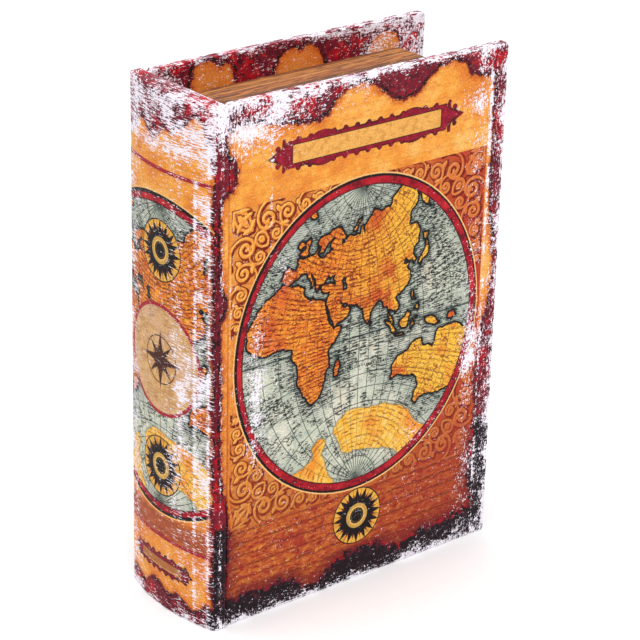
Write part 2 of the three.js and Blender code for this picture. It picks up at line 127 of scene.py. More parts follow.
# The sun rose: half a point's sector, its ticks, and each kind of point with turn, reach, half width and ink
SUN_SECTOR, SUN_TICKS = math.pi / 16, 72
SUN_POINTS = [(SUN_SECTOR, 10.4, 1.6, "#5E2420"), (0.0, 12.5, 2.2, "#160E12")]

# The cloth on its boards, in millimetres: rounds, steps of the grids, and the rings of the turned-in cloth
COVER_CORNER, CLOTH_EDGE, SPINE_CORNER = 2.0, 0.6, 1.6
FRONT_STEP, BACK_STEP, SPINE_STEP, PANEL_STEP = 0.66, 0.95, 0.8, 3.0
FRONT_TURNED, BACK_TURNED = np.array([1.5, 3.5, 6, 8.5, 11]), np.arange(1, 19) * 0.8
# The steps of the spine's arc and of its corners, and the rings that close its two ends
ARC_STEPS, CORNER_STEPS, END_RINGS = 400, 20, 5
# The cloth in the grooves: how far it stands proud of its solid, how deep it sinks, how thick it is, its grid
JOINT_PROUD, JOINT_SINK, JOINT_THICK, JOINT_GRID = 0.6, 0.3, 0.35, (9, 320)
# The page block: its leaves, the arch of one leaf as shares of its place and depths, and the bundles.
# A leaf is 0.7 mm thick, coarser than paper, so that it shows.
LEAVES, SIDE_STEPS = 68, 41
LEAF_SHARES, LEAF_ARCH = np.array([0, 0.16, 0.5, 0.84]), np.array([0.2, 0.05, 0, 0.05])
LEAF_STRAY, LEAF_GAP, LEAF_WAVES, LEAF_WAVE_HEIGHT = 0.1, 0.05, (3.1, 7.7, 19.0), 0.015
LEAF_BUNDLES, BUNDLE_NOTCH = 4, 0.6
BLOCK_EDGE, BLOCK_LAP, BLOCK_CLEAR = 0.2, 1.5, 0.15
# The corner round and the edge round of the lining and of the felt
LINING_ROUNDS, FELT_ROUNDS = (2.0, 0.4), (2.4, 1.2)
# Widths of the broken edges of the metal, in millimetres
BROKEN_EDGES = {
    "steel_box": 0.25, "safe_lid": 0.25, "box_hinge_leaf": 0.12, "lid_hinge_leaf": 0.12, "lock_strike": 0.2,
    "lock_nut": 0.3, "lock_cam": 0.25, "key_1": 0.2, "key_2": 0.2,
}
# The floor, in metres: its reach, its sides, and where it fades out
FLOOR_REACH, FLOOR_SIDES, FLOOR_FADE = 8.0, 96, (0.7, 1.4)
# Soft boxes: name, place, aim, side in metres, power in watts
LAMPS = [
    ("key", (-0.25, -1.1, 1.25), (0, 0, 0.1), 0.9, 9.6),
    ("side", (-1.2, -0.3, 0.6), (0, 0, 0.1), 0.9, 1.6),
    ("fill", (0.9, -0.9, 0.6), (0, 0, 0.1), 0.9, 2.2),
    ("top", (-0.1, 0.3, 1.6), (0, 0.3, 0.0), 1.6, 26.0),
]

# Coasts as longitude and latitude in degrees
MAINLANDS = [
    """-6,35.8 0,36 10,37.3 11,34 15,32.3 20,31 20,32.8 25,31.6 30,31.2 32.3,31.2 33.5,28 35.5,24 37,21
    37.5,18.5 39.5,15.5 43,12 44,10.6 51,11.8 50,8 47,4 43,0 40,-3 39,-6 40.5,-10.5 40.5,-15 36,-19 35,-24
    32.8,-26 32,-29 28,-33 24,-34 19.5,-34.8 18,-32 15,-27 14,-22 12,-17 13.5,-12 13,-8 12,-5 9,-1 9.5,3.5
    6,4.3 3,5.6 -4,4.5 -10,4 -15,5.5 -19,9 -20,14 -18,18 -16,23 -12,28.5 -9,32""",
    """-9,37 -9.3,39 -8.8,43 -2,43.4 -1.3,46 -4.5,48.3 1,50 4,52 8,54 8.3,57 10.6,57.6 11,54.5 14,54
    19,54.5 21,56.5 24,57.5 24,59.3 30,60 25,60.2 22.5,60.8 21.5,63 25.3,65.3 22,65.8 17.5,62 17,60 16.5,57
    12.8,55.6 11,59 8,58.2 5.3,59 5,62 11,64.5 14.5,68 20,70 26,71 31,70 41,67.5 38,66.2 33,66.7 37,64
    40.5,64.8 44,66.5 44,68.3 53,68.5 60,69 67,69 67,72 72.5,73 75,68 74,72.5 80,73.5 87,75 98,76.3 104,77.7
    113,74 125,73.3 130,71 140,72.5 150,71.3 160,69.7 170,70 178,69 180,65 170,60 163,58 162,55 156.5,51
    156,57 163,62 155,59.3 143,59.3 135,54.7 141,52.5 140.5,48 135,43.5 131,43 127.5,39.8 129.4,36.5
    126.5,34.5 126,37.5 121.5,39 121.5,40.8 117.8,39 119,37.3 122.4,37.2 119.5,35 121.8,31.5 121.5,28
    118,24.5 114,22.5 110.4,21.3 110,20.4 108.3,21.6 105.8,19 109,13 106.8,10.5 105,8.8 105,10.4 101,12.7
    99.5,13.3 99.3,9.5 103.4,3 104,1.4 101.3,3 98.4,8 98.5,13 97.5,16.5 94.3,16 94,19 91.5,22.5 87,21.5
    85,19.8 82,16.8 80.2,15.5 80,12 79.9,10.3 77.6,8.1 75,11.5 73,17 72.7,20.8 70.5,20.9 69,22.3 66.7,25
    61.6,25.2 57.2,25.8 56.5,27 51,27.9 48.5,30.2 48,29.5 51.5,25.5 54.5,24.2 56.3,26 58.7,23.6 59.8,22.4
    55.2,17.3 52,15.6 45,12.8 43.3,12.8 42.7,16.5 39,21.5 35,28 34.2,31.3 35.8,35.8 36,36.8 32.5,36.1
    28,36.8 26.3,39 27,40.4 29,41.1 31.5,41.2 35,42 41.5,41.5 37.5,44.8 39,47.2 35,46.1 33.5,44.5 31,46.6
    28.7,44 28,41.6 26,40.7 23.5,40.3 24,38 22.8,36.6 21.3,37.8 19.4,41 14,45 12.3,45.3 13.7,43.5 18.4,40
    16,38 15.7,40 12,42 8.8,44.4 4,43.5 3.2,42 0,39 -2,36.8 -5.4,36.1""",
    "50,45 53,45.3 51.5,43 53.8,40 53.8,37 50,37.3 49.5,41 47,43.5",
    """106,-30 107,-37 111,-35 117,-34 128,-33 133,-34.5 136.5,-38 135.5,-42 137,-46 141,-47 143,-42.5
    148,-40 155,-37.5 161,-33 165,-27 164,-19 168,-13.5 163,-10 156,-8 148,-7.5 142,-8.5 141,-13 139.5,-18
    136,-16.5 131,-16.5 130,-13 124,-14 119,-19.5 111,-22""",
]
ISLANDS = [
    "49.3,-12.2 50.4,-15.8 47.5,-24.8 44.2,-24 44,-19.5 46.3,-15.8",
    "-5.5,50.1 1.3,51.2 1.6,52.8 -0.3,53.8 -1.7,55.5 -2,57.5 -5,58.6 -5.8,56 -3,54 -4.5,52",
    "-6.2,52.2 -10,52 -9.8,54.2 -7,55.2 -5.6,54.5",
    "-24,65.5 -22,66.4 -14,66 -14.5,64.4 -18.5,63.4 -22.5,63.9",
    "95.3,5.6 98,4 103.5,-1 106,-3.5 105.7,-5.9 102,-4.2 98.7,1.7",
    "105.2,-6.8 108.5,-6.7 112.8,-7 114.5,-8.3 110,-8.1 106,-7.4",
    "109.3,1.8 111.5,2.7 115,5 116.8,7 119,5.2 117.6,1.5 116.3,-3.5 112,-3.4 110,-1.5",
    "119.5,0 121,1 124.8,1.5 121,.4 121.3,-1 122.5,-3.5 120.4,-3 120,-5.5",
    "131,-0.8 135,-.9 139,-2.6 142.5,-5.5 139,-6.3 136,-5.3 132.5,-3.6",
    "148,-1.5 151,-1 152.5,-3.5 150,-5 147.5,-4",
    "120.5,18.5 122.2,18.3 121.7,14.2 124,12.7 120.7,13.8",
    "122,7 125.5,9.7 126.4,7 125.5,5.7 124,6.8",
    """130,33.2 131.5,31.3 132,33.5 135.5,33.5 139.8,35 141,37 142,39.6 141.3,41.4 139.9,39.5 137,37
    133,35.5 131,34.4""",
    "140,42 141.5,45.4 145.3,43.3 143,42",
    "79.9,9.6 81.8,7.5 80.6,5.9 79.8,7.5",
    "52,71 55,73 60,76 68,77 60,74 57.5,70.7",
]
SOUTH_LANDS = [
    """36,-58 42,-56 54,-53 70,-53 79,-54 88,-54 101,-53 107,-51.5 118,-52 128,-51 137,-51 145,-53 153,-53
    163,-50 180,-52 188,-62 172,-66 152,-68 133,-72 104,-76 78,-77 47,-76 36,-72 37,-66 35,-62""",
    """12,-57 16,-56.5 21,-59 20,-62 9,-65 4,-70 -6,-74 -27,-80 -52,-72 -50,-60 -30,-52 -17,-57 -9,-60
    -1,-61.5 4,-60 6,-57""",
]
# The edge of the sound parchment on a board, burnt away outside it, as millimetres on the cloth
BURNT_EDGE = """4,13 6,15 7,19 6.5,24 7.5,30 7.5,38 7,45 6,52 4,58 2.6,66 2.4,75 2.2,90 2.4,105 2,120 2.2,128
    4.8,131 5,137 2.4,142 1.8,150 1.8,160 2,172 3,175.5 8,177 9.8,182 9.4,188 6,191 4,198 9,201 14,201
    22,200 30,198 38,196.5 46,196 51,198 55,203 60,206 66,207 72,205.5 77,201.5 82,197.5 87,196.5 93,197.5
    97,200.5 100,204 105,206.5 111,207 117,205.5 120,200.5 127,198 132,197.5 132.5,190 131.8,182 132.4,170
    131.8,160 132.4,150 133,141 134.4,132 135.6,124 135.8,114 134.6,104 132,96 130.5,88 129.6,80 128.5,70
    130,60 129,45 127.5,30 129,20 130,15 122,13.5 112,12 104,12.5 99,10.5 93,8.5 88,10 83,13 76,14.5 68,13.5
    60,13 54,8.5 50,5.5 47,4.5 43,7 38,11 30,12.5 22,11 14,12.5 8,11"""
# The peaks of parchment where the cloth is turned in over the back board: across, and up past the head
TURNED_PEAKS = [
    """23,245 24.5,222 25,218 26,215.4 29,214.7 33,214.6 35.5,216.2 38,218 41,217 43,217.8 44.2,221 45,226
    46,245""",
    """61,245 63.5,224.5 66.5,219 70,216.6 73,217 75.5,218.2 79,216.4 82.5,217 85.5,219.8 87.5,224
    88.5,245""",
    """107,245 109.5,223 113,219 118,217.5 122,218.5 126,222 129,245""",
]
# The volutes of one corner of the panel, inwards from its two sides: eye, reach, heading and hand
CORNER_VOLUTES = [
    (16.2, 6.6, 3.9, 2.6, 1), (25.6, 5.6, 3.3, 3.5, -1), (33.8, 4.5, 2.6, 2.4, 1), (40.6, 3.3, 2.0, 3.6, -1),
    (46.4, 2.5, 1.4, 2.6, 1), (13.2, 13.8, 3.0, 5.4, 1), (20.6, 12.8, 2.5, 0.4, -1),
]
# The ring in the corner itself, and the leaves: from tip to tip, with half the width
CORNER_OVAL = (0.8, 0.8, 9.6, 9.6, 2.8)
CORNER_LEAVES = [
    (9.6, 2.4, 4.6, 5.0, 0.9), (2.4, 0.8, 8.4, 1.0, 0.6), (10.4, 5.0, 8.4, 10.2, 1.0),
    (20.4, 1.8, 22.4, 5.2, 0.9), (29.6, 1.6, 31.2, 4.4, 0.8), (17.0, 16.8, 13.0, 19.4, 0.9),
    (26.6, 9.4, 22.0, 9.8, 0.8), (37.2, 1.4, 38.0, 3.4, 0.6),
]
# Worn places: a strength, then a middle and half a width across, and the same up where the place ends
FRONT_WEAR = [
    (0.72, 2.2, 0.36), (0.315, 131.2, 0.75), (0.385, 131.2, 0.75, 167, 30), (0.2, 126, 4), (-0.1, 69, 30),
    (0.16, 6, 3, 135, 30), (0.5, 15, 18, 200, 12), (0.4, 25, 0.7, 172, 24), (0.5, 19, 5.4, 92, 32),
    (0.4, 125, 5, 86, 15), (0.26, 32, 5, 142, 10), (0.2, 122, 9, 188, 14), (0.1, 66, 60, 30, 14),
    (0.16, 112, 20, 4, 3), (0.22, 97, 14, 58, 8), (0.16, 60, 30, 202, 5), (-0.16, 104, 18, 203, 4),
]
SPINE_WEAR = [
    (0.36, 24.0, 1.0), (0.14, 9, 6), (0.1, 26.5, 1.2), (0.14, 20.8, 3.4), (-0.12, 10, 7, 198, 8),
    (0.3, 12, 6, 100, 24), (0.2, 8, 6, 66, 14), (0.34, 20.8, 3.4, 174, 6), (0.34, 20.8, 3.4, 155, 5),
    (0.34, 20.8, 3.4, 138, 3), (0.34, 20.8, 3.4, 101, 10), (0.34, 20.8, 3.4, 66, 9), (0.34, 20.8, 3.4, 26, 6),
]
BACK_WEAR = [(0.28, 131, 0.8), (0.42, 131, 0.8, 60, 40), (0.36, 20, 15, 30, 12), (0.3, 112, 12, 176, 14)]
# Where the sea of the front is hatched most densely
DENSE_HATCHING = [
    (1.0, 111, 9, 124, 14), (0.8, 22, 12, 86, 8), (0.8, 104, 8, 148, 10), (0.7, 60, 16, 98, 6),
    (0.5, 32, 12, 140, 6),
]
# How far a corner's scrollwork reaches, what stands for none, and how far aside its light and shade are taken
SCROLL_REACH, NO_SCROLL, LIT_FROM = 54, -6.0, 0.4
# How far the sides of the coasts are moved, as a share of their length
COAST_SHARE, SOUTH_SHARE = 0.16, 0.12
# The most that a face is worn, the same for the spine, and how much less its head edge is
MOST_WORN, SPINE_MOST_WORN, HEAD_SPARED = 0.76, 0.8, 0.22


def points(text):
    """The points of one line, from pairs of numbers with blanks between them."""
    return np.array([[float(part) for part in pair.split(",")] for pair in text.split()])


def on_chart(places):
    """Longitude and latitude to the cloth, as half a globe drawn from its far side. Across is
    cos(lat) sin(lon) and up is sin(lat), both divided by 1 + cos(lat) cos(lon), and lon counts from the
    middle meridian."""
    turn, rise = np.radians(places[:, 0] - MIDDLE_MERIDIAN), np.radians(places[:, 1])
    below = 1 + np.cos(rise) * np.cos(turn)
    flat = np.column_stack([np.cos(rise) * np.sin(turn) / below, np.sin(rise) / below])
    return CHART_MIDDLE + CHART_REACH * flat


def roughened(line, seed, share, rounds=2):
    """A closed line with bays and capes: each side's middle is moved across by a share of its length."""
    chance = np.random.default_rng(seed)
    for _ in range(rounds):
        side = np.roll(line, -1, axis=0) - line
        across = np.column_stack([-side[:, 1], side[:, 0]])
        middle = line + side / 2 + across * chance.uniform(-share, share, (len(line), 1))
        line = np.stack([line, middle], axis=1).reshape(-1, 2)
    return line


def inside_distance(x, y, shapes):
    """Millimetres to the nearest side of closed lines, positive inside them by the even-odd rule."""
    least = np.full(x.shape, np.inf)
    inside = np.zeros(x.shape, bool)
    for shape in shapes:
        for (x0, y0), (x1, y1) in zip(shape, np.roll(shape, -1, axis=0)):
            dx, dy = x1 - x0, y1 - y0
            along = np.clip(((x - x0) * dx + (y - y0) * dy) / max(dx * dx + dy * dy, 1e-9), 0, 1)
            least = np.minimum(least, (x - x0 - along * dx) ** 2 + (y - y0 - along * dy) ** 2)
            if dy:
                inside ^= ((y0 > y) != (y1 > y)) & (x < x0 + (y - y0) * dx / dy)
    return np.where(inside, 1, -1) * np.sqrt(least)


def box_distance(x, y, low, high):
    """Millimetres to the sides of an upright box, positive inside."""
    across, up = np.minimum(x - low[0], high[0] - x), np.minimum(y - low[1], high[1] - y)
    inner = np.minimum(across, up)
    return np.where(inner > 0, inner, -np.hypot(np.minimum(across, 0), np.minimum(up, 0)))


def bump(x, middle, half):
    """A soft bell: e to the minus square of the distance from the middle in half widths."""
    return np.exp(-(((x - middle) / half) ** 2))


def bumps(x, y, table):
    """The sum of soft bells, each with its strength. A row of three numbers runs all the way up."""
    return sum(row[0] * bump(x, *row[1:3]) * (bump(y, *row[3:]) if row[3:] else 1) for row in table)


def ramp(x, low, high):
    """0 at low and 1 at high, smooth at both ends."""
    t = np.clip((x - low) / (high - low), 0, 1)
    return t * t * (3 - 2 * t)


def volute_line(middle, reach, heading, hand, turns=1.9, tail_share=0.24, steps=96):
    """The middle line of one volute: a spiral that opens evenly from its eye to its reach, and then leaves
    as a tail whose radius grows with the square of the way. Returns its points and their share of the way."""
    way = np.linspace(0, 1, steps)
    curl = 1 - tail_share
    radius = reach * (0.1 + 0.9 * np.minimum(way / curl, 1))
    radius = radius + reach * 1.5 * np.clip((way - curl) / tail_share, 0, None) ** 2
    angle = heading + hand * 2 * math.pi * turns * (way - curl)
    return np.column_stack([middle[0] + radius * np.cos(angle), middle[1] + radius * np.sin(angle)]), way


def band_distance(x, y, line, half):
    """Millimetres inside a band that is drawn along a line, with a half width at each of its points."""
    best = np.full(x.shape, -99.0)
    for (x0, y0), (x1, y1), wide0, wide1 in zip(line[:-1], line[1:], half[:-1], half[1:]):
        dx, dy = x1 - x0, y1 - y0
        along = np.clip(((x - x0) * dx + (y - y0) * dy) / (dx * dx + dy * dy), 0, 1)
        inside = wide0 + along * (wide1 - wide0) - np.hypot(x - x0 - along * dx, y - y0 - along * dy)
        best = np.maximum(best, inside)
    return best


def leaf_distance(x, y, leaf):
    """Millimetres inside a leaf from one tip to the other, with the outline of half a wave on each side."""
    x0, y0, x1, y1, half = leaf
    long = math.hypot(x1 - x0, y1 - y0)
    along = ((x - x0) * (x1 - x0) + (y - y0) * (y1 - y0)) / long ** 2
    aside = np.abs((x - x0) * (y1 - y0) - (y - y0) * (x1 - x0)) / long
    past = long * np.clip(np.abs(along - 0.5) - 0.5, 0, None)
    return half * np.sin(math.pi * np.clip(along, 0, 1)) - aside - past


def rim_distance(x, y):
    """Millimetres outside the chart's rim, negative inside: its oval radius less 1, times the mean reach."""
    oval = np.hypot((x - CHART_MIDDLE[0]) / RIM_REACH[0], (y - CHART_MIDDLE[1]) / RIM_REACH[1])
    return (oval - 1) * RIM_REACH.mean()


def corner_scrolls(x, y):
    """Scrollwork in the four corners of the panel: the cloth is folded over the panel's middle lines and
    over each corner's diagonal, so that one set of volutes and leaves serves eight times. It ends at its
    reach and at the rim."""
    middle, half = (PANEL_LOW + PANEL_HIGH) / 2, (PANEL_HIGH - PANEL_LOW) / 2
    across, down = half[0] - np.abs(x - middle[0]), half[1] - np.abs(y - middle[1])
    near = (np.minimum(across, down) > -2) & (np.maximum(across, down) < SCROLL_REACH)
    near &= rim_distance(x, y) > -2
    u, v = np.maximum(across, down)[near], np.minimum(across, down)[near]
    oval = leaf_distance(u, v, CORNER_OVAL)
    here = np.maximum(0.5 - np.abs(oval), oval - 1.5)
    for x0, y0, wide, heading, hand in CORNER_VOLUTES:
        line, way = volute_line((x0, y0), wide, heading, hand)
        half_width = 0.2 * wide ** 0.8 * (0.6 + 0.5 * np.sin(math.pi * way ** 0.8))
        here = np.maximum(here, band_distance(u, v, line, half_width))
    for leaf in CORNER_LEAVES:
        here = np.maximum(here, leaf_distance(u, v, leaf))
    best = np.full(x.shape, NO_SCROLL)
    best[near] = here
    return best


def chart_lands(x, y):
    """Millimetres inside the lands, and inside the two southern lands."""
    lands = enumerate(MAINLANDS + ISLANDS)
    coasts = [roughened(on_chart(points(text)), 7 + n, COAST_SHARE) for n, text in lands]
    south = [roughened(on_chart(points(text)), 3 + n, SOUTH_SHARE) for n, text in enumerate(SOUTH_LANDS)]
    land, low = np.full(x.shape, -40.0), np.full(x.shape, -40.0)
    near = rim_distance(x, y) < 0
    land[near] = inside_distance(x[near], y[near], coasts)
    low[near] = inside_distance(x[near], y[near], south)
    return land, low


def chart_net(x, y):
    """Longitude and latitude in tens of degrees, and millimetres to ten degrees: on_chart turned round."""
    u, v = (x - CHART_MIDDLE[0]) / CHART_REACH[0], (y - CHART_MIDDLE[1]) / CHART_REACH[1]
    square = u * u + v * v
    latitude = np.degrees(np.arcsin(np.clip(2 * v / (1 + square), -1, 1))) / 10
    longitude = np.degrees(np.arctan2(2 * u, np.maximum(1 - square, 1e-3))) / 10
    return longitude, latitude, CHART_REACH.mean() * (1 + square) / 2 * math.radians(10)


def banner_distance(x, y, middle, half, bead):
    """Millimetres inside a banner: a long box with low beads along it, a bar at each end and a pointed tip
    beyond. The bars, the swell and the tip are shares of half the banner's size."""
    u, v, (long, tall) = np.abs(x - middle[0]), y - middle[1], half
    body = box_distance(u, v, (-long, -tall), (long, tall))
    beads = 1.25 - np.hypot((u + bead / 2) % bead - bead / 2, np.abs(v) - tall)
    beads = np.where(u < long - bead / 2, beads, -FAR)
    swell = tall * 1.3 * bump(u, long * 0.56, long * 0.3) - np.abs(v)
    bars = box_distance(u, v, (long + 0.4, -tall * 1.22), (long + 2.0, tall * 1.22))
    tip = (tall * 0.75 * (1 - (u - long) / (tall * 1.7)) - np.abs(v)) * 0.8
    tip = np.where(u > long - 1, tip, -FAR)
    barb = tall * 0.22 - np.hypot(u - long - tall * 0.75, np.abs(v) - tall * 0.62)
    return np.max([body, beads, swell, bars, tip, barb], axis=0)


def about(x, y, middles, reach):
    """Places counted from the nearest of some middles, and far away outside their reach."""
    u, v = np.full(x.shape, 90.0), np.full(x.shape, 90.0)
    for x0, y0 in middles:
        near = np.hypot(x - x0, y - y0) < reach + 1.5
        u, v = np.where(near, x - x0, u), np.where(near, y - y0, v)
    return u, v, np.zeros(x.shape)


def edge_rub(x, y):
    """Wear of a board's head, tail and fore-edge: it falls away from both corners of the edge, which is 4 mm
    thick, and a wider and weaker band follows."""
    inside = np.minimum(CLOTH_REACH - x, np.minimum(y, CLOTH_HEIGHT - y))
    apart = np.maximum(np.maximum(inside, -4 - inside), 0)
    return 0.5 * np.exp(-apart / 1.4) + 0.24 * np.exp(-apart / 6)


def end_rub(y, reach):
    """Wear at the head: e to the minus distance below it over a reach, both in millimetres."""
    return np.exp(-np.maximum(CLOTH_HEIGHT - y, 0) / reach)


def char_share(x, y, least, fore_edge, spine_side, tail):
    """How black the burnt leather is. It grows downwards between two heights near the fore-edge, between two
    more near the spine, and between the last two all over."""
    share = least + 0.75 * ramp(y, *fore_edge) * ramp(x, 60, 120) + 0.8 * ramp(y, *tail)
    return np.clip(share + 0.7 * ramp(y, *spine_side) * ramp(x, 30, 8), 0, 1)


def front_print(x, y):
    """What the front board's cloth carries at each place, as distances in millimetres and shares."""
    land, south = chart_lands(x, y)
    scrolls, away = corner_scrolls(x, y), np.full(x.shape, -FAR)
    lit = scrolls - corner_scrolls(x - LIT_FROM, y + LIT_FROM)
    head = ramp(y, *HEAD_EDGE)
    rub = edge_rub(x, y) + 0.14 + bumps(x, y, FRONT_WEAR) + 0.12 * ramp(x, 131, 134)
    rub += 0.48 * end_rub(y, 6) * ramp(x, 100, 40) + 0.12 * ramp(y, 8, 0)
    rub = np.minimum(rub, MOST_WORN - head * (0.12 + 0.14 * ramp(x, 50, 110)))
    char = char_share(x, y, 0.25, (60, 44), (47, 38), (18, 14))
    return {
        "chart": (land, south, rim_distance(x, y)),
        "net": chart_net(x, y),
        "ornament": (scrolls, banner_distance(x, y, *FRONT_BANNER), box_distance(x, y, *FRONT_LABEL)),
        "edge": (inside_distance(x, y, [points(BURNT_EDGE)]), char, ramp(y, 150, 25)),
        "wear": (rub, away, ramp(np.abs(x - 69), 40, 62) * (1 - head) - 0.6 * head),
        "ground": (box_distance(x, y, PANEL_LOW, PANEL_HIGH), RULED_TOP - y, away),
        "rose": about(x, y, [ROSE_MIDDLE], ROSE_REACH),
        "compass": about(x, y, [], 0),
        "relief": (lit, bumps(x, y, DENSE_HATCHING), np.zeros(x.shape)),
    }


def spine_print(x, y):
    """What the spine's cloth carries: across is counted from its middle line towards the front, and up from
    the tail. The chart is the front's, seen between two red rules."""
    on_front = x + CHART_MIDDLE[0] - SPINE_SHIFT
    land, south = chart_lands(on_front, y)
    burnt_foot = y - 8.5 + 3.0 * np.sin(x / 3.4) * np.cos(x / 9 + 1)
    burnt_head = 193.5 + 8 * ramp(x, 4, 9) * ramp(x, 24, 20) + 3 * np.sin(x / 2.6 + 1) - y
    burnt_side = 25.3 + 0.5 * np.sin(y / 4) + 0.4 * np.sin(y / 1.7) - x
    label = box_distance(x, y, *SPINE_LABEL)
    tone = 0.15 + 0.2 * ramp(y, 60, 42) + 1.3 * bump(y, 35, 6.5) * ramp(y, 30.4, 30.6)
    rules = np.maximum(0.8 - np.abs(y - SPINE_RULE), 0.65 - np.abs(y - SPINE_RULED_FOOT))
    rub = 0.2 + bumps(x, y, SPINE_WEAR) + 0.36 * bump(x, 17.2, 0.7) * ramp(y, 184, 176)
    rub += 0.4 * ramp(y, 182, 190) + 0.1 * ramp(y, 208, 210) + 0.3 * ramp(y, 6, 0) - 0.12 * ramp(x, 27, 28.5)
    rub += 0.3 * ramp(x, -12, -24) * ramp(y, 190, 180)
    rub = np.minimum(rub, SPINE_MOST_WORN) - HEAD_SPARED * ramp(y, *HEAD_EDGE)
    return {
        "chart": (land, south, rim_distance(on_front, y)),
        "net": chart_net(on_front, y),
        "ornament": (np.full(x.shape, NO_SCROLL), banner_distance(x, y, *SPINE_BANNER), label),
        "edge": (np.min([burnt_foot, burnt_head, burnt_side], axis=0),
                 0.25 + 0.5 * ramp(y, 40, 20) * ramp(x, 20, 27), np.where(label > -0.3, LABEL_TONE, tone)),
        "wear": (rub, rules, np.full(x.shape, -0.6)),
        "ground": (np.where((y > 31) & (y < CHART_MIDDLE[1]), 0.0, -FAR),
                   np.where(y > SPINE_RULED_FOOT, RULED_TOP - y, -FAR),
                   SPINE_ROUNDEL_REACH - np.hypot(x - SPINE_ROUNDEL[0], y - SPINE_ROUNDEL[1])),
        "rose": about(x, y, SPINE_ROSES, ROSE_REACH),
        "compass": about(x, y, [SPINE_ROUNDEL], SPINE_ROUNDEL_REACH - 2.6),
        "relief": tuple(np.zeros((3, *x.shape))),
    }


def back_print(x, y):
    """What the back board's cloth carries: burnt parchment, with a large roundel, a rose below it and a
    banner above. Past the head it is turned in, and lighter peaks of it show there."""
    peaks = [points(text) for text in TURNED_PEAKS]
    inner = box_distance(x, y, *BACK_FRAME)
    rub = edge_rub(x, y) + 0.17 + bumps(x, y, BACK_WEAR) + 0.26 * ramp(x, 131, 134)
    rub += 0.3 * end_rub(y, 5) + 0.2 * np.exp(-np.maximum(y, 0) / 5)
    turned = 0.22 + 0.3 * ramp(x, 24, 12) + 0.3 * ramp(x, 94, 112) + 0.14 * ramp(x, 122, 130)
    turned += 0.3 * bump(y, 214, 1.6) + 0.24 * bump(y, 223, 0.5) * bump(x, 54, 8)
    turned += 0.22 * bump(x, 97, 9) * ramp(y, 219, 216)
    head = ramp(y, *HEAD_EDGE) * ramp(y, *HEAD_BACK)
    rub = np.minimum(np.where(y > 213.2, turned, rub), MOST_WORN - HEAD_SPARED * head)
    away = np.full(x.shape, -FAR)
    east, north, flat = about(x, y, [BACK_ROUNDEL], BACK_ROUNDEL_REACH - 2)
    frame_line = 0.5 - np.minimum(np.abs(inner), np.abs(inner - BACK_FRAME_GAP))
    roundel = BACK_ROUNDEL_REACH - np.hypot(x - BACK_ROUNDEL[0], y - BACK_ROUNDEL[1])
    char = char_share(x, y, 0.3, (64, 48), (50, 40), (18, 13))
    burn = inside_distance(x, y, [points(BURNT_EDGE)] + peaks)
    return {
        "chart": (away * 4, away * 4, np.full(x.shape, 40.0)),
        "net": (away, away, np.ones(x.shape)),
        "ornament": (away, banner_distance(x, y, *BACK_BANNER), box_distance(x, y, *BACK_LABEL)),
        "edge": (burn, char, np.where(y > 213, 0.9, ramp(y, 150, 25))),
        "wear": (rub, frame_line, ramp(np.abs(x - 69), 40, 62) * (y < CLOTH_HEIGHT) - 0.6 * head),
        "ground": (away, RULED_TOP - y, roundel),
        "rose": about(x, y, [ROSE_MIDDLE], ROSE_REACH),
        "compass": (east / BACK_COMPASS_SCALE, north / BACK_COMPASS_SCALE, flat),
        "relief": tuple(np.zeros((3, *x.shape))),
    }


# Shapes
def make_piece(name, places, faces, material, body, replaced, fields=None):
    """A mesh from places in millimetres and faces, with its named fields, riding on a body if it has one."""
    mesh = bpy.data.meshes.new(name)
    mesh.from_pydata(np.asarray(places, float) * MM, [], faces)
    work = bmesh.new()
    work.from_mesh(mesh)
    bmesh.ops.recalc_face_normals(work, faces=work.faces)
    work.to_mesh(mesh)
    work.free()
    for key, values in (fields or {}).items():
        made = mesh.attributes.new(key, "FLOAT_VECTOR", "POINT")
        made.data.foreach_set("vector", np.column_stack([np.asarray(v, np.float32) for v in values]).ravel())
    mesh.polygons.foreach_set("use_smooth", np.ones(len(mesh.polygons), bool))
    mesh.materials.append(material)
    piece = bpy.data.objects.new(name, mesh)
    bpy.context.scene.collection.objects.link(piece)
    if body:
        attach(piece, body)
    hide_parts(*replaced)
    return piece


def grid_faces(rows, columns, start=0, round_rows=False, round_columns=False):
    """The quads of a grid whose places are counted row by row."""
    row = np.arange(rows if round_rows else rows - 1)
    column = np.arange(columns if round_columns else columns - 1)
    i, j = np.meshgrid(row, column, indexing="ij")
    ii, jj = (i + 1) % rows, (j + 1) % columns
    quads = np.stack([i * columns + j, ii * columns + j, ii * columns + jj, i * columns + jj], axis=-1)
    return (quads.reshape(-1, 4) + start).tolist()


def between_rings(one, two):
    """The quads between two closed rings of places."""
    return np.stack([one, np.roll(one, -1), np.roll(two, -1), two], axis=-1).tolist()


def grid_outline(rows, columns):
    """The places round the outside of a grid, in their order."""
    index = np.arange(rows * columns).reshape(rows, columns)
    return np.concatenate([index[:, 0], index[-1, 1:], index[-2::-1, -1], index[0, -2:0:-1]])


def board_section(away, corner, edge, thick):
    """How far a point of the cloth lies outwards and how deep, at a distance from the board's core: flat,
    then a quarter round, a wall, a quarter round and flat again."""
    flat, quarter = corner - edge, math.pi * edge / 2
    first = np.clip((away - flat) / edge, 0, math.pi / 2)
    wall = np.clip(away - flat - quarter, 0, thick - 2 * edge)
    second = np.clip((away - flat - quarter - (thick - 2 * edge)) / edge, 0, math.pi / 2)
    outwards = np.minimum(away, flat) + edge * np.sin(first) - edge * (1 - np.cos(second))
    return outwards, edge * (1 - np.cos(first)) + wall + edge * np.sin(second)


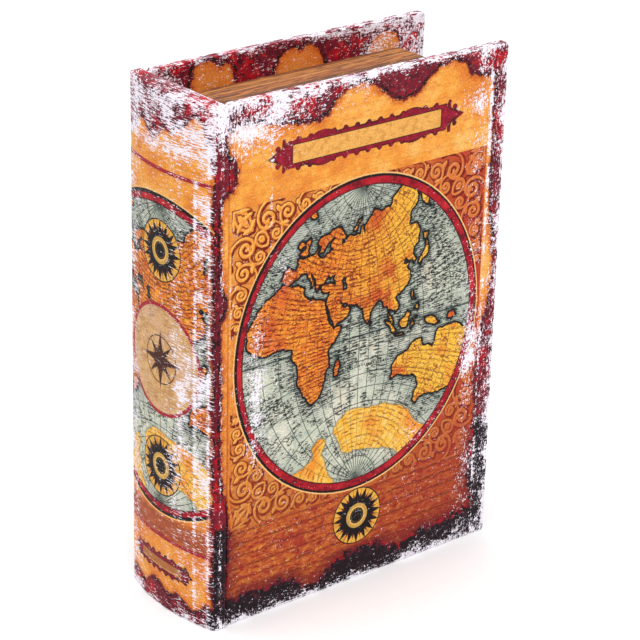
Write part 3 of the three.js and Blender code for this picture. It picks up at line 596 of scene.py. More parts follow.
def bound_board(low, high, outward, step, turned):
    """A board in its cloth, as one closed skin. Flat cloth places are bent over the board's edges by
    board_section, along the line from the nearest place of the core. The second face is drawn in rings to
    the depth of the turn-in."""
    corner, edge, thick = COVER_CORNER, CLOTH_EDGE, high[1] - low[1]
    core_low, core_high = low[[0, 2]] + corner, high[[0, 2]] - corner
    flat, quarter, rest = corner - edge, math.pi * edge / 2, thick - 2 * edge
    out = np.concatenate([[flat / 2, flat], flat + quarter * np.array([0.25, 0.5, 0.75, 1]),
                          flat + quarter + rest / 2 * np.array([0.5, 1])])
    lines = []
    for least, most in zip(core_low, core_high):
        inner = np.linspace(least, most, int(round((most - least) / step)) + 1)
        lines.append(np.concatenate([least - out[::-1], inner, most + out]))
    p, q = np.meshgrid(*lines, indexing="ij")
    core = np.stack([np.clip(p, core_low[0], core_high[0]), np.clip(q, core_low[1], core_high[1])], axis=-1)
    off = np.stack([p, q], axis=-1) - core
    away = np.abs(off).max(axis=-1).ravel()
    heading = (off / np.maximum(np.hypot(off[..., 0], off[..., 1]), 1e-9)[..., None]).reshape(-1, 2)
    core = core.reshape(-1, 2)
    faces, ring = grid_faces(*p.shape), grid_outline(*p.shape)
    outwards, depth = board_section(away, corner, edge, thick)
    laid, deep, cloth = [core + heading * outwards[:, None]], [depth], [core + heading * away[:, None]]

    half, middle = (high - low)[[0, 2]] / 2, (high + low)[[0, 2]] / 2
    wall_end = flat + quarter + rest
    end = wall_end + quarter
    level = np.abs(heading[ring][:, 1]) > np.abs(heading[ring][:, 0])
    before, start = ring, len(core)
    for stop in np.concatenate([[wall_end], wall_end + quarter * np.array([0.33, 0.67, 1]), end + turned]):
        outwards, depth = board_section(min(stop, end), corner, edge, thick)
        drawn = middle + (core[ring] + heading[ring] * outwards - middle) * (1 - max(stop - end, 0) / half)
        flat_place = core[ring] + heading[ring] * stop
        now = np.arange(start, start + len(ring))
        faces += between_rings(before, now)
        before, start = now, start + len(ring)
        laid.append(drawn)
        deep.append(np.full(len(ring), float(depth)))
        cloth.append(np.where(level[:, None], np.column_stack([drawn[:, 0], flat_place[:, 1]]),
                              np.column_stack([flat_place[:, 0], drawn[:, 1]])))
    faces.append(now.tolist())
    laid, deep = np.concatenate(laid), np.concatenate(deep)
    y = low[1] + deep if outward < 0 else high[1] - deep
    return np.column_stack([laid[:, 0], y, laid[:, 1]]), faces, np.concatenate(cloth)


def spine_line(inner, outer, half, bulge):
    """The outside of the spine seen from above, from its front corner to its back one: side, rounded corner
    and one flat arc, in even steps. Returns the places and how far along the cloth each lies from the
    middle, plus to the front."""
    radius = (half ** 2 + bulge ** 2) / (2 * bulge)
    reach = half - SPINE_CORNER
    y = np.linspace(-reach, reach, ARC_STEPS)
    arc = np.column_stack([outer - (np.sqrt(radius ** 2 - y ** 2) - (radius - bulge)), y])
    start, corner = [outer + SPINE_CORNER, -half], [outer, -half]
    t = np.linspace(0, 1, CORNER_STEPS)[:-1, None]
    turn = (1 - t) ** 2 * start + 2 * t * (1 - t) * corner + t ** 2 * arc[0]
    side = np.linspace([inner, -half], start, CORNER_STEPS)[:-1]
    line = np.concatenate([side, turn, arc[:-1], (turn * [1, -1])[::-1], (side * [1, -1])[::-1]])
    way = np.concatenate([[0], np.cumsum(np.hypot(*np.diff(line, axis=0).T))])
    even = np.linspace(0, way[-1], int(way[-1] / SPINE_STEP) + 1)
    return np.column_stack([np.interp(even, way, line[:, n]) for n in (0, 1)]), way[-1] / 2 - even


def spine_skin(low, high, line, along):
    """The spine in its cloth, as one closed skin: its outside line and the flat back behind it, carried from
    tail to head, drawn in by a quarter round at both ends, and closed by rings between the two."""
    count, edge = len(line), CLOTH_EDGE
    back = np.linspace(line[-1], line[0], count)[1:-1]
    loop = np.concatenate([line, back])
    tangent = np.roll(loop, -1, axis=0) - np.roll(loop, 1, axis=0)
    normal = np.column_stack([tangent[:, 1], -tangent[:, 0]]) / np.hypot(*tangent.T)[:, None]
    inward = -normal if ((loop - loop.mean(axis=0)) * normal).sum() > 0 else normal
    turn = np.radians([90, 60, 30, 0])
    up = np.linspace(low[2] + edge, high[2] - edge, int((high[2] - low[2]) / SPINE_STEP))
    foot, top = low[2] + edge - edge * np.sin(turn), high[2] - edge + edge * np.sin(turn[::-1])
    heights = np.concatenate([foot, up[1:-1], top])
    tuck = edge * (1 - np.cos(turn))
    drawn = np.concatenate([tuck, np.zeros(len(up) - 2), tuck[::-1]])
    rings = loop[None] + inward[None] * drawn[:, None, None]
    places = np.concatenate([rings, np.broadcast_to(heights[:, None, None], rings.shape[:2] + (1,))], axis=-1)
    size = len(loop)
    across = np.concatenate([along, np.linspace(along[-1], along[0], count)[1:-1]])
    cloth = np.stack(np.broadcast_arrays(across[None], heights[:, None]), axis=-1)
    faces = grid_faces(len(heights), size, round_columns=True)
    places, cloth = places.reshape(-1, 3), cloth.reshape(-1, 2)
    shares = np.linspace(0, 1, END_RINGS + 2)[1:-1]
    for row, side in ((0, -1), (len(heights) - 1, 1)):
        first = np.arange(row * size, row * size + count)
        behind = np.arange(row * size + count, (row + 1) * size)
        last = np.concatenate([[first[-1]], behind, [first[0]]])[::-1]
        depth = np.abs(places[first[1:-1], 0] - places[last[1:-1], 0])
        between = [places[first[1:-1]] * (1 - t) + places[last[1:-1]] * t for t in shares]
        laid = [np.column_stack([along[1:-1], heights[row] + side * t * depth]) for t in shares]
        inner = len(places) + np.arange(len(shares) * (count - 2)).reshape(len(shares), -1)
        rows = [first[1:-1], *inner, last[1:-1]]
        places, cloth = np.concatenate([places, *between]), np.concatenate([cloth, *laid])
        for one, two in zip(rows[:-1], rows[1:]):
            faces += np.stack([one[:-1], one[1:], two[1:], two[:-1]], axis=-1).tolist()
            faces += [[int(first[0]), int(one[0]), int(two[0])], [int(first[-1]), int(two[-1]), int(one[-1])]]
    return places, faces, cloth


def page_block(low, high, wall):
    """The leaves round the box: one section, carried round the four sides. Its outside is a row of leaves,
    each a low arch with its own length and a wave of three sines. V-shaped notches part them into bundles."""
    chance = np.random.default_rng(11)
    depth = high[1] - low[1]
    y = low[1] + depth * ((np.arange(LEAVES)[:, None] + LEAF_SHARES) / LEAVES).ravel()
    arch = np.tile(LEAF_ARCH, LEAVES)
    bundle = depth / LEAF_BUNDLES
    seam = np.abs((y - low[1] + bundle / 2) % bundle - bundle / 2)
    seam = np.where(np.minimum(y - low[1], high[1] - y) < bundle / 2, BUNDLE_NOTCH, seam)
    own = np.repeat(chance.uniform(0, LEAF_STRAY, LEAVES), 4) + np.clip(BUNDLE_NOTCH - seam, 0, None)
    phases = chance.uniform(0, 6.28, (3, LEAVES))
    y = np.concatenate([y, [high[1]] * 3, [low[1]] * 3])
    t = np.linspace(0, 1, SIDE_STEPS + 1)[:-1, None]
    rows = []
    for n in range(4):
        long = (high - low)[2 if n % 2 else 0]
        wave = sum(np.sin(t * long / wide + phase) for wide, phase in zip(LEAF_WAVES, phases))
        outside = arch + own + np.repeat(wave * LEAF_WAVE_HEIGHT, 4, axis=1) + LEAF_GAP
        inside = np.broadcast_to([BLOCK_EDGE, BLOCK_LAP, wall, wall, BLOCK_LAP, BLOCK_EDGE], (SIDE_STEPS, 6))
        o = np.concatenate([outside, inside], axis=1)
        left, right, foot, head = low[0] + o, high[0] - o, low[2] + o, high[2] - o
        corners = [(left, foot), (right, foot), (right, head), (left, head)]
        (x0, z0), (x1, z1) = corners[n], corners[(n + 1) % 4]
        rows.append(np.stack([x0 + t * (x1 - x0), np.broadcast_to(y, o.shape), z0 + t * (z1 - z0)], axis=-1))
    shades = np.repeat(chance.uniform(0, 1, LEAVES // 2), 2) * 0.75 + chance.uniform(0, 0.25, LEAVES)
    # Painted shade: 1 where a leaf's arch sinks deepest, in the crease between two leaves, which page_edges
    # darkens
    painted_crease_shade = np.concatenate([arch / LEAF_ARCH.max(), np.full(6, 0.2)])
    dark = np.concatenate([np.repeat(shades, 4), np.full(6, 0.3)])
    plain = np.concatenate([np.zeros(4 * LEAVES), [0.5, 1, 1, 1, 1, 0.5]])
    count = 4 * SIDE_STEPS
    faces = grid_faces(count, len(y), round_rows=True, round_columns=True)
    leaf = [np.tile(part, count) for part in (painted_crease_shade, dark, plain)]
    return np.concatenate(rows).reshape(-1, 3), faces, {"leaf": leaf}


def soft_panel(low, high, corner, crown, axis_out):
    """A thin sheet of cloth laid on a face, with rounded corners: both faces are grids that meet at the
    outline, and the outer one rises to its full height over a short way from the edge, as the arc of a
    quarter circle."""
    width, tall = high[0] - low[0], high[2] - low[2]
    u = np.linspace(-1, 1, int(width / PANEL_STEP) + 1)
    v = np.linspace(-1, 1, int(tall / PANEL_STEP) + 1)
    p, q = np.meshgrid(np.sin(u * math.pi / 2), np.sin(v * math.pi / 2), indexing="ij")
    x, z = p * width / 2, q * tall / 2
    past_x, past_z = np.abs(x) - (width / 2 - corner), np.abs(z) - (tall / 2 - corner)
    off = np.stack([np.sign(x) * np.maximum(past_x, 0), np.sign(z) * np.maximum(past_z, 0)])
    length, most = np.maximum(np.hypot(*off), 1e-9), np.abs(off).max(axis=0)
    x, z = x - off[0] * (1 - most / length), z - off[1] * (1 - most / length)
    inside = np.minimum(width / 2 - np.abs(x), tall / 2 - np.abs(z))
    inside = np.where(most > 0, np.minimum(inside, corner - np.minimum(most, corner)), inside)
    rise = (high[1] - low[1]) * np.sqrt(np.clip(1 - (1 - np.clip(inside / crown, 0, 1)) ** 2, 0, 1))
    base = high[1] if axis_out < 0 else low[1]
    top = np.stack([x, base + axis_out * rise, z], axis=-1)
    under = np.stack([x, np.full(x.shape, base), z], axis=-1)
    rows, columns = x.shape
    index = np.arange(rows * columns).reshape(rows, columns)
    second = index + rows * columns
    second[0], second[-1], second[:, 0], second[:, -1] = index[0], index[-1], index[:, 0], index[:, -1]
    quads = np.stack([second[:-1, :-1], second[:-1, 1:], second[1:, 1:], second[1:, :-1]], axis=-1)
    middle = [(low[0] + high[0]) / 2, 0, (low[2] + high[2]) / 2]
    places = np.concatenate([top.reshape(-1, 3), under.reshape(-1, 3)]) + middle
    used = np.unique(np.concatenate([index.ravel(), second.ravel()]))
    renamed = np.zeros(len(places), int)
    renamed[used] = np.arange(len(used))
    return places[used], grid_faces(rows, columns) + renamed[quads.reshape(-1, 4)].tolist()


# Materials
def ink(colour):
    """An sRGB hex colour as linear numbers."""
    parts = [int(colour[n:n + 2], 16) / 255 for n in (1, 3, 5)]
    return tuple(c / 12.92 if c <= 0.04045 else ((c + 0.055) / 1.055) ** 2.4 for c in parts) + (1.0,)


def add(tree, kind, inputs=(), out=0, **settings):
    """Adds a shader node, with its settings, and with values or links for its inputs by number or name."""
    node = tree.nodes.new("ShaderNode" + kind)
    for key, value in settings.items():
        setattr(node, key, value)
    for key, value in (inputs.items() if isinstance(inputs, dict) else enumerate(inputs)):
        if isinstance(value, bpy.types.NodeSocket):
            tree.links.new(value, node.inputs[key])
        elif value is not None:
            node.inputs[key].default_value = value
    return node.outputs[out] if node.outputs else None


def blank(name):
    """An empty material and its node tree."""
    material = bpy.data.materials.new(name)
    material.use_nodes = True
    material.node_tree.nodes.clear()
    return material, material.node_tree


def finished(tree, shader):
    """Sends a shader to the surface of its material."""
    add(tree, "OutputMaterial", {"Surface": shader})


def cover(tree, *parts):
    """How much of the cloth an ink covers: the product of its parts. A part is a share, or a value with the
    two limits between which its share goes from 0 to 1, or else from the next number to the last one."""
    share = None
    for part in parts:
        if isinstance(part, tuple):
            part = add(tree, "MapRange", part)
        share = part if share is None else add(tree, "Math", [share, part], operation="MULTIPLY")
    return share


def overprint(tree, ground, inks):
    """Lays inks over a ground in their order. Each ink is a colour, and then the parts of what it covers."""
    ground = ink(ground) if isinstance(ground, str) else ground
    for colour, *parts in inks:
        over = ink(colour) if isinstance(colour, str) else colour
        ground = add(tree, "Mix", {0: cover(tree, *parts), 6: ground, 7: over}, out=2, data_type="RGBA")
    return ground


def drawn_noise(tree, place, scale, detail, roughness=0.5, distortion=0.0):
    """Noise with a scale of its own in each direction, so that its features are drawn out."""
    scaled = add(tree, "VectorMath", [place, scale], operation="MULTIPLY")
    return add(tree, "TexNoise", {"Vector": scaled, "Scale": 1.0, "Detail": detail, "Roughness": roughness,
                                  "Distortion": distortion})


def field(tree, name):
    """The three numbers of a named field of the mesh."""
    vector = add(tree, "Attribute", out=1, attribute_name=name)
    return tuple(add(tree, "SeparateXYZ", [vector]).node.outputs)


def cloth_values(tree):
    """The printed fields, under their names, and the noises that several inks share."""
    cloth = SimpleNamespace(place=add(tree, "Attribute", out=1, attribute_name="cloth"))
    for name, parts in PRINTED_FIELDS.items():
        for part, value in zip(parts, field(tree, name)):
            setattr(cloth, part, value)
    # Mottling of the inks: stains of 18 mm, patches of 3 mm, specks of 0.7 mm and clusters of 7 mm
    for name, scale, detail, roughness in (("stain", 0.055, 3.0, 0.6), ("patch", 0.33, 4.0, 0.62),
                                           ("speck", 1.5, 3.0, 0.6), ("cluster", 0.15, 3.0, 0.6)):
        setattr(cloth, name, add(tree, "TexNoise", {"Vector": cloth.place, "Scale": scale, "Detail": detail,
                                                    "Roughness": roughness}))
    cloth.ragged = add(tree, "Math", [cloth.speck, 0.9, -0.45], operation="MULTIPLY_ADD")
    # Strokes of 3 by 0.5 mm across the cloth, as hatching is, and streaks of 4 by 1.6 mm
    cloth.strokes = drawn_noise(tree, cloth.place, (0.32, 1.9, 1), 3.0, 0.55)
    cloth.streaks = drawn_noise(tree, cloth.place, (0.26, 0.62, 1), 5.0, 0.66)
    return cloth


def engrave(tree, cloth):
    """What the plate printed all over the chart: the net of meridians and parallels at every ten degrees,
    broken rows of fine strokes, four in ten degrees, and clusters of strokes along the parallels."""
    east = add(tree, "Math", [cloth.longitude, cloth.tens], operation="MULTIPLY")
    north = add(tree, "Math", [cloth.latitude, cloth.tens], operation="MULTIPLY")
    cloth.hachure = drawn_noise(tree, add(tree, "CombineXYZ", [east, north]), (0.26, 1.7, 1), 3.0, 0.6, 0.3)
    cloth.cluster = add(tree, "Math", [cloth.dense, 0.14, cloth.cluster], operation="MULTIPLY_ADD")

    row = add(tree, "Math", [cloth.latitude, 4.0], operation="MULTIPLY")
    row = add(tree, "Math", [cloth.patch, 1.6, row], operation="MULTIPLY_ADD")
    row = add(tree, "Math", [row, 0.5], operation="PINGPONG")
    row = add(tree, "Math", [row, cloth.tens], operation="MULTIPLY")
    cloth.row = cover(tree, (row, 1.4, 0.95), (cloth.strokes, 0.45, 0.48))

    narrow = add(tree, "Math", [cloth.latitude, math.radians(10)], operation="MULTIPLY")
    narrow = add(tree, "Math", [narrow], operation="COSINE")
    meridian = add(tree, "Math", [cloth.longitude, 0.5], operation="PINGPONG")
    meridian = add(tree, "Math", [meridian, cloth.tens], operation="MULTIPLY")
    meridian = add(tree, "Math", [meridian, narrow], operation="MULTIPLY")
    parallel = add(tree, "Math", [cloth.latitude, 0.5], operation="PINGPONG")
    parallel = add(tree, "Math", [parallel, cloth.tens], operation="MULTIPLY")
    nearest = add(tree, "Math", [meridian, parallel], operation="MINIMUM")
    cloth.net = cover(tree, (nearest, 0.26, 0.1), (cloth.speck, 0.3, 0.5, 0.4, 1))

    fine = add(tree, "MapRange", [cloth.hachure, 0.53, 0.545])
    fine = add(tree, "Math", [fine, cloth.row], operation="MAXIMUM")
    cloth.fine_strokes = cover(tree, fine, (cloth.cluster, 0.49, 0.53, 0.06, 1))


def parchment(tree, cloth):
    """Parchment, darker and redder towards the tail, with ruled lines and streaks below the chart."""
    below = add(tree, "MapRange", [cloth.low, -1.0, 2.5])
    aged = overprint(tree, "#F09A3C", [
        ("#F5AC4A", (cloth.patch, 0.45, 0.65)),
        ("#F9C068", (cloth.stain, 0.52, 0.68, 0, 0.8)),
        ("#DF7F30", (cloth.stain, 0.5, 0.38, 0, 0.85)),
        ("#CC7030", (cloth.streaks, 0.46, 0.36, 0, 0.5)),
        ("#C9602A", cloth.tone, 0.6),
        ("#AE4622", below, 0.85),
        ("#D97A2E", below, (cloth.streaks, 0.5, 0.6, 0, 0.85)),
        ("#EBA03E", below, (cloth.patch, 0.57, 0.66, 0, 0.85)),
        ("#8C2018", below, (cloth.streaks, 0.47, 0.38)),
        ("#9E1E20", below, (cloth.stain, 0.55, 0.64, 0, 0.7)),
        ("#98261C", below, (cloth.across, 40.0, 110.0, 0.1, 0.5)),
        ("#8C3A38", (cloth.tone, 0.9, 1.5, 0, 0.6)),
    ])
    line = add(tree, "Math", [cloth.patch, 2.6, cloth.up], operation="MULTIPLY_ADD")
    line = add(tree, "Math", [line, 0.2], operation="MULTIPLY")
    line = add(tree, "Math", [line, 0.5], operation="PINGPONG")
    thick = add(tree, "MapRange", [cloth.streaks, 0.4, 0.6, -0.04, 0.1])
    line = add(tree, "Math", [line, thick], operation="SUBTRACT")
    return overprint(tree, aged, [
        ("#5A1A14", (line, 0.05, 0.0), (cloth.streaks, 0.34, 0.44), (below, 0, 1, 0.12, 0.72)),
    ])


def scrollwork(tree, cloth):
    """Orange bands with a dark line along them, lit on one side as if raised, on an orange that reddens
    towards the fore-edge."""
    band = add(tree, "Math", [cloth.ragged, 0.4, cloth.scroll], operation="MULTIPLY_ADD")
    shadow = add(tree, "MapRange", [cloth.shade, 0.05, -0.3])
    cut = add(tree, "Math", [shadow, 0.75, band], operation="MULTIPLY_ADD")
    redder = add(tree, "MapRange", [cloth.across, 50.0, 118.0])
    lit = add(tree, "MapRange", [band, -0.2, 0.05])
    return overprint(tree, "#DE8A3A", [
        ("#E79A44", (cloth.patch, 0.48, 0.62, 0, 0.7)),
        ("#B84224", redder),
        ("#B04422", (cloth.patch, 0.47, 0.36, 0, 0.8)),
        ("#74180F", (cut, -0.7, -0.4), (cloth.patch, 0.32, 0.5, 0.6, 1)),
        ("#EC983E", lit),
        ("#FBC468", lit, (cloth.shade, 0.05, 0.4, 0, 0.7)),
        ("#CC5E34", redder, (band, -0.2, 0.1, 0, 0.75)),
        ("#B04A20", lit, (cloth.shade, -0.15, -0.5, 0, 0.6)),
        ("#B02A28", redder, (cloth.stain, 0.54, 0.64, 0, 0.45)),
        ("#94341E", (cloth.tone, 0.55, 1.0, 0, 0.5)),
    ])


def sea(tree, cloth):
    """Grey-green water with the worn plate's net, dashed tropics, rows of strokes, and combed waves along
    the coasts."""
    belt = add(tree, "Math", [cloth.latitude], operation="ABSOLUTE")
    equator = add(tree, "Math", [belt, cloth.tens], operation="MULTIPLY")
    tropic = add(tree, "Math", [belt, TROPIC], operation="SUBTRACT")
    tropic = add(tree, "Math", [tropic, cloth.tens], operation="MULTIPLY")
    tropic = add(tree, "Math", [tropic], operation="ABSOLUTE")
    dashes = add(tree, "Math", [cloth.longitude, 4.0], operation="MULTIPLY")
    dashes = add(tree, "Math", [dashes, 0.5], operation="PINGPONG")
    tropic = cover(tree, (tropic, 0.5, 0.3), (dashes, 0.2, 0.25))
    belts = add(tree, "Math", [cover(tree, (equator, 0.55, 0.3)), tropic], operation="MAXIMUM")

    near_land = add(tree, "Math", [cloth.patch, 0.5], operation="SUBTRACT")
    near_land = add(tree, "Math", [near_land, 26.0, cloth.land], operation="MULTIPLY_ADD")
    near_land = add(tree, "MapRange", [near_land, -9.0, -1.5])
    comb = add(tree, "Math", [cloth.speck, 0.9, cloth.up], operation="MULTIPLY_ADD")
    comb = add(tree, "Math", [comb, 1.15], operation="MULTIPLY")
    comb = add(tree, "Math", [comb, 0.5], operation="PINGPONG")
    return overprint(tree, "#CDD0BC", [
        ("#DEDCC9", (cloth.stain, 0.46, 0.58)),
        ("#DFCBAA", (cloth.stain, 0.6, 0.7, 0, 0.7)),
        ("#A2B0A2", (cloth.patch, 0.5, 0.34, 0, 0.8)),
        ("#8C968F", (cloth.rim, -12, -5, 0, 0.35)),
        ("#45504A", cloth.net),
        ("#333E3A", belts, 0.9),
        ("#8A9894", near_land, 0.3),
        ("#1E2628", (comb, 0.3, 0.18), (cloth.strokes, 0.42, 0.5), near_land, 0.95),
        ("#141A1C", cloth.fine_strokes, 0.92),
        ("#14181A", (cloth.strokes, 0.5, 0.53), (cloth.patch, 0.48, 0.54), (cloth.dense, 0.1, 0.5), 0.95),
    ])


def chart(tree, cloth):
    """The sea with its lands, coloured by hand over red-brown engraving, with rivers and a hatched shore.
    The two southern lands are a paler gold, and have a soft edge."""
    shore = add(tree, "Math", [cloth.land, cloth.ragged], operation="ADD")
    coast = add(tree, "Math", [cloth.south, cloth.ragged], operation="ADD")
    river = add(tree, "TexNoise", {"Vector": cloth.place, "Scale": 0.11, "Detail": 3.0, "Roughness": 0.55})
    river = add(tree, "Math", [river, 0.5], operation="SUBTRACT")
    river = add(tree, "Math", [river], operation="ABSOLUTE")
    engraved = add(tree, "MapRange", [cloth.hachure, 0.5, 0.56, 0, 0.55])
    engraved = add(tree, "Math", [engraved, cloth.row], operation="MAXIMUM")
    east = add(tree, "MapRange", [cloth.across, 55.0, 98.0])
    soil = overprint(tree, "#EE862E", [
        ("#F6A638", (cloth.patch, 0.47, 0.6)),
        ("#D2582A", (cloth.stain, 0.49, 0.34, 0, 0.8)),
        ("#F9C244", east, (cloth.stain, 0.36, 0.5)),
        ("#7E1C0C", engraved, (cloth.cluster, 0.36, 0.46, 0.3, 1), (east, 0, 1, 1, 0.7)),
        ("#7A1E18", (river, 0.014, 0.006, 0, 0.8)),
        ("#7A3A1E", cloth.net, 0.7),
    ])
    gold = overprint(tree, "#F1B63E", [
        ("#F6CE72", (cloth.patch, 0.45, 0.65)),
        ("#EB9430", (cloth.stain, 0.5, 0.38)),
        ("#9C4A20", cloth.row, (cloth.cluster, 0.4, 0.5), 0.85),
        ("#8F7440", cloth.net, 0.6),
    ])
    return overprint(tree, sea(tree, cloth), [
        ("#7E7A58", (coast, -0.9, -0.2, 0, 0.8)),
        (gold, (coast, -0.1, 0.1)),
        ("#3A4644", (shore, -1.9, -0.7, 0, 0.75), (cloth.strokes, 0.35, 0.55, 0.55, 1.0)),
        ("#161416", (shore, -0.8, -0.5)),
        (soil, (shore, 0.12, 0.3)),
    ])


def rimmed_chart(tree, cloth, colour):
    """The chart in its oval rim: a pale line, a black one, a red band and a row of beads."""
    red = overprint(tree, "#AE1526", [
        ("#6E101C", (cloth.patch, 0.54, 0.4)),
        ("#D22C30", (cloth.stain, 0.52, 0.64, 0, 0.7)),
        ("#6A1220", (cloth.tone, 0.5, 1.0, 0, 0.15)),
    ])
    bead = add(tree, "Math", [cloth.across, cloth.up], operation="ADD")
    bead = add(tree, "Math", [bead, 0.5], operation="PINGPONG")
    edge = add(tree, "Math", [cloth.ragged, 0.4, cloth.rim], operation="MULTIPLY_ADD")
    towards_fore_edge = add(tree, "MapRange", [cloth.across, 34.0, 100.0, 0, 0.65])
    thinner = add(tree, "MapRange", [cloth.tone, 0.55, 0.9, 0, 0.5])
    thinner = add(tree, "Math", [towards_fore_edge, thinner], operation="MAXIMUM")
    inner = add(tree, "Math", [edge, thinner], operation="SUBTRACT")
    return overprint(tree, colour, [
        ("#F3BE78", (edge, 0.1, -0.1)),
        ("#1A1014", (edge, -0.45, -0.65)),
        (red, (inner, -1.85, -2.1)),
        ("#1E1418", (edge, -3.95, -4.15), (bead, 0.1, 0.2, 0.45, 1)),
        (chart(tree, cloth), (edge, -4.5, -4.65)),
    ])


def from_middle(tree, name):
    """How far a place lies from the middle of a figure, and in which direction."""
    east, north, _ = field(tree, name)
    square = add(tree, "Math", [north, north], operation="MULTIPLY")
    square = add(tree, "Math", [east, east, square], operation="MULTIPLY_ADD")
    turn = add(tree, "Math", [north, east], operation="ARCTAN2")
    return add(tree, "Math", [square], operation="SQRT"), turn


def beside_ray(tree, far, turn, sector, offset):
    """How far a place lies along the nearest of some even rays, and how far beside it."""
    fold = add(tree, "Math", [turn, offset], operation="ADD")
    fold = add(tree, "Math", [fold, sector], operation="PINGPONG")
    ways = [add(tree, "Math", [fold], operation=way) for way in ("COSINE", "SINE")]
    return [add(tree, "Math", [far, way], operation="MULTIPLY") for way in ways]


def compass_roundel(tree, cloth, colour):
    """A plain roundel in a red ring, with a compass of needles drawn in brown, and the red rules."""
    far, turn = from_middle(tree, "compass")
    ring = add(tree, "Math", [far, COMPASS_RING], operation="SUBTRACT")
    ring = add(tree, "Math", [ring], operation="ABSOLUTE")
    drawn = add(tree, "MapRange", [ring, 0.35, 0.15])
    for sector, offset, reach, wide in COMPASS_NEEDLES:
        ahead, aside = beside_ray(tree, far, turn, sector, offset)
        needle = add(tree, "MapRange", [ahead, 0.0, reach, wide, 0.0])
        needle = add(tree, "Math", [needle, aside], operation="SUBTRACT")
        drawn = add(tree, "Math", [drawn, add(tree, "MapRange", [needle, -0.1, 0.15])], operation="MAXIMUM")
    plain = overprint(tree, "#D2A268", [
        ("#DEB27A", (cloth.patch, 0.45, 0.65)),
        ("#C48E58", (cloth.patch, 0.46, 0.34, 0, 0.8)),
        ("#D8B093", (cloth.stain, 0.5, 0.62, 0, 0.6)),
        ("#9A6A44", cloth.fine_strokes, 0.5),
        ("#401C16", drawn, (cloth.speck, 0.3, 0.45, 0.6, 1)),
    ])
    disc = add(tree, "Math", [cloth.ragged, 0.4, cloth.roundel], operation="MULTIPLY_ADD")
    rule = add(tree, "Math", [cloth.rule, cloth.ragged], operation="ADD")
    return overprint(tree, colour, [
        ("#A32232", (disc, -0.1, 0.1)),
        (plain, (disc, 1.4, 1.6)),
        ("#A32232", (rule, -0.12, 0.12)),
    ])


def sun_rose(tree, cloth, colour):
    """Sixteen black points and sixteen short brown ones on gold, round a ringed black disc."""
    far, turn = from_middle(tree, "rose")
    far = add(tree, "Math", [far, 1.05], operation="MULTIPLY")
    sun = overprint(tree, "#E7AC44", [("#CF8A36", (cloth.patch, 0.5, 0.36))])
    for offset, reach, wide, colour_of in SUN_POINTS:
        ahead, aside = beside_ray(tree, far, turn, SUN_SECTOR, offset)
        point = add(tree, "Math", [cover(tree, (ahead, 5.4, reach, wide, 0.1)), aside], operation="SUBTRACT")
        sun = overprint(tree, sun, [(colour_of, (point, -0.08, 0.12))])
    ticks = add(tree, "Math", [turn, SUN_TICKS / (2 * math.pi)], operation="MULTIPLY")
    ticks = add(tree, "Math", [ticks, 0.5], operation="PINGPONG")
    circle = add(tree, "Math", [far, 2.9], operation="SUBTRACT")
    circle = add(tree, "Math", [circle], operation="ABSOLUTE")
    sun = overprint(tree, sun, [
        ("#160E12", (far, 6.1, 5.95)),
        (overprint(tree, "#7A4E22", [("#E2B45C", (ticks, 0.14, 0.2))]), (far, 5.65, 5.5)),
        ("#E2B45C", (far, 4.35, 4.2)),
        ("#140E10", (far, 3.65, 3.5)),
        ("#8C6A3A", (circle, 0.16, 0.06, 0, 0.7)),
        ("#1E1416", (far, 12.15, 12.35)),
    ])
    return overprint(tree, colour, [(sun, (far, 12.85, 12.7))])


def framed_banner(tree, cloth, colour):
    """A maroon frame, nearly black inside, round a bare amber strip, which is browner on the spine."""
    framed = add(tree, "Math", [cloth.banner, cloth.ragged], operation="ADD")
    deep = add(tree, "Math", [cloth.stain, -4.0, framed], operation="MULTIPLY_ADD")
    frame_ink = overprint(tree, "#84142A", [
        ("#A81E30", (cloth.patch, 0.5, 0.62)),
        ("#3E1018", (deep, -1.2, -1.9)),
    ])
    strip = add(tree, "MapRange", [cloth.label, -0.05, 0.1])
    return overprint(tree, colour, [
        (frame_ink, (framed, -0.1, 0.1)),
        ("#2A0E14", (cloth.label, -0.4, -0.25)),
        ("#EBAC58", strip),
        ("#D49446", strip, (cloth.patch, 0.52, 0.38)),
        ("#9A5232", strip, (cloth.tone, LABEL_TONE - 0.3, LABEL_TONE - 0.1, 0, 0.8)),
    ])


def scorched_leather(tree, cloth, colour):
    """The parchment is burnt away: a brown edge, a black scorched line, then maroon and red leather, black
    at the tail."""
    torn = add(tree, "Math", [cloth.patch, 0.5], operation="SUBTRACT")
    torn = add(tree, "Math", [torn, 5.0, cloth.burn], operation="MULTIPLY_ADD")
    rough = add(tree, "Math", [cloth.speck, 0.5], operation="SUBTRACT")
    torn = add(tree, "Math", [rough, 2.4, torn], operation="MULTIPLY_ADD")
    deep = add(tree, "Math", [cloth.patch, 12.0, torn], operation="MULTIPLY_ADD")
    cloudy = add(tree, "MapRange", [cloth.stain, 0.35, 0.65, -0.25, 0.25])
    black = add(tree, "Math", [cloth.char, cloudy], operation="ADD")
    black = cover(tree, (black, 0.46, 0.66), (deep, 6.2, 4.2))
    leather = overprint(tree, "#761A2A", [
        ("#B01422", (cloth.stain, 0.5, 0.57)),
        ("#4C141F", (cloth.patch, 0.5, 0.38)),
        ("#D2342A", (cloth.patch, 0.58, 0.68, 0, 0.8), (cloth.char, 0.7, 0.3)),
        ("#1C1016", black),
        ("#38222A", black, (cloth.patch, 0.5, 0.62, 0, 0.7)),
        ("#1A1014", (torn, -1.9, -1.0), (cloth.patch, 0.46, 0.52), (cloth.char, 0.5, 0.8, 1.0, 0.0)),
    ])
    return overprint(tree, colour, [
        ("#742020", (torn, 7.0, 0.5, 0, 0.85), (cloth.char, 0.6, 1.0)),
        ("#C2501E", (torn, 2.4, 0.4, 0, 0.7), (cloth.char, 0.9, 0.6)),
        ("#7A2818", (torn, 0.6, 0.1, 0, 0.7)),
        (leather, (torn, 0.1, -0.1)),
    ])


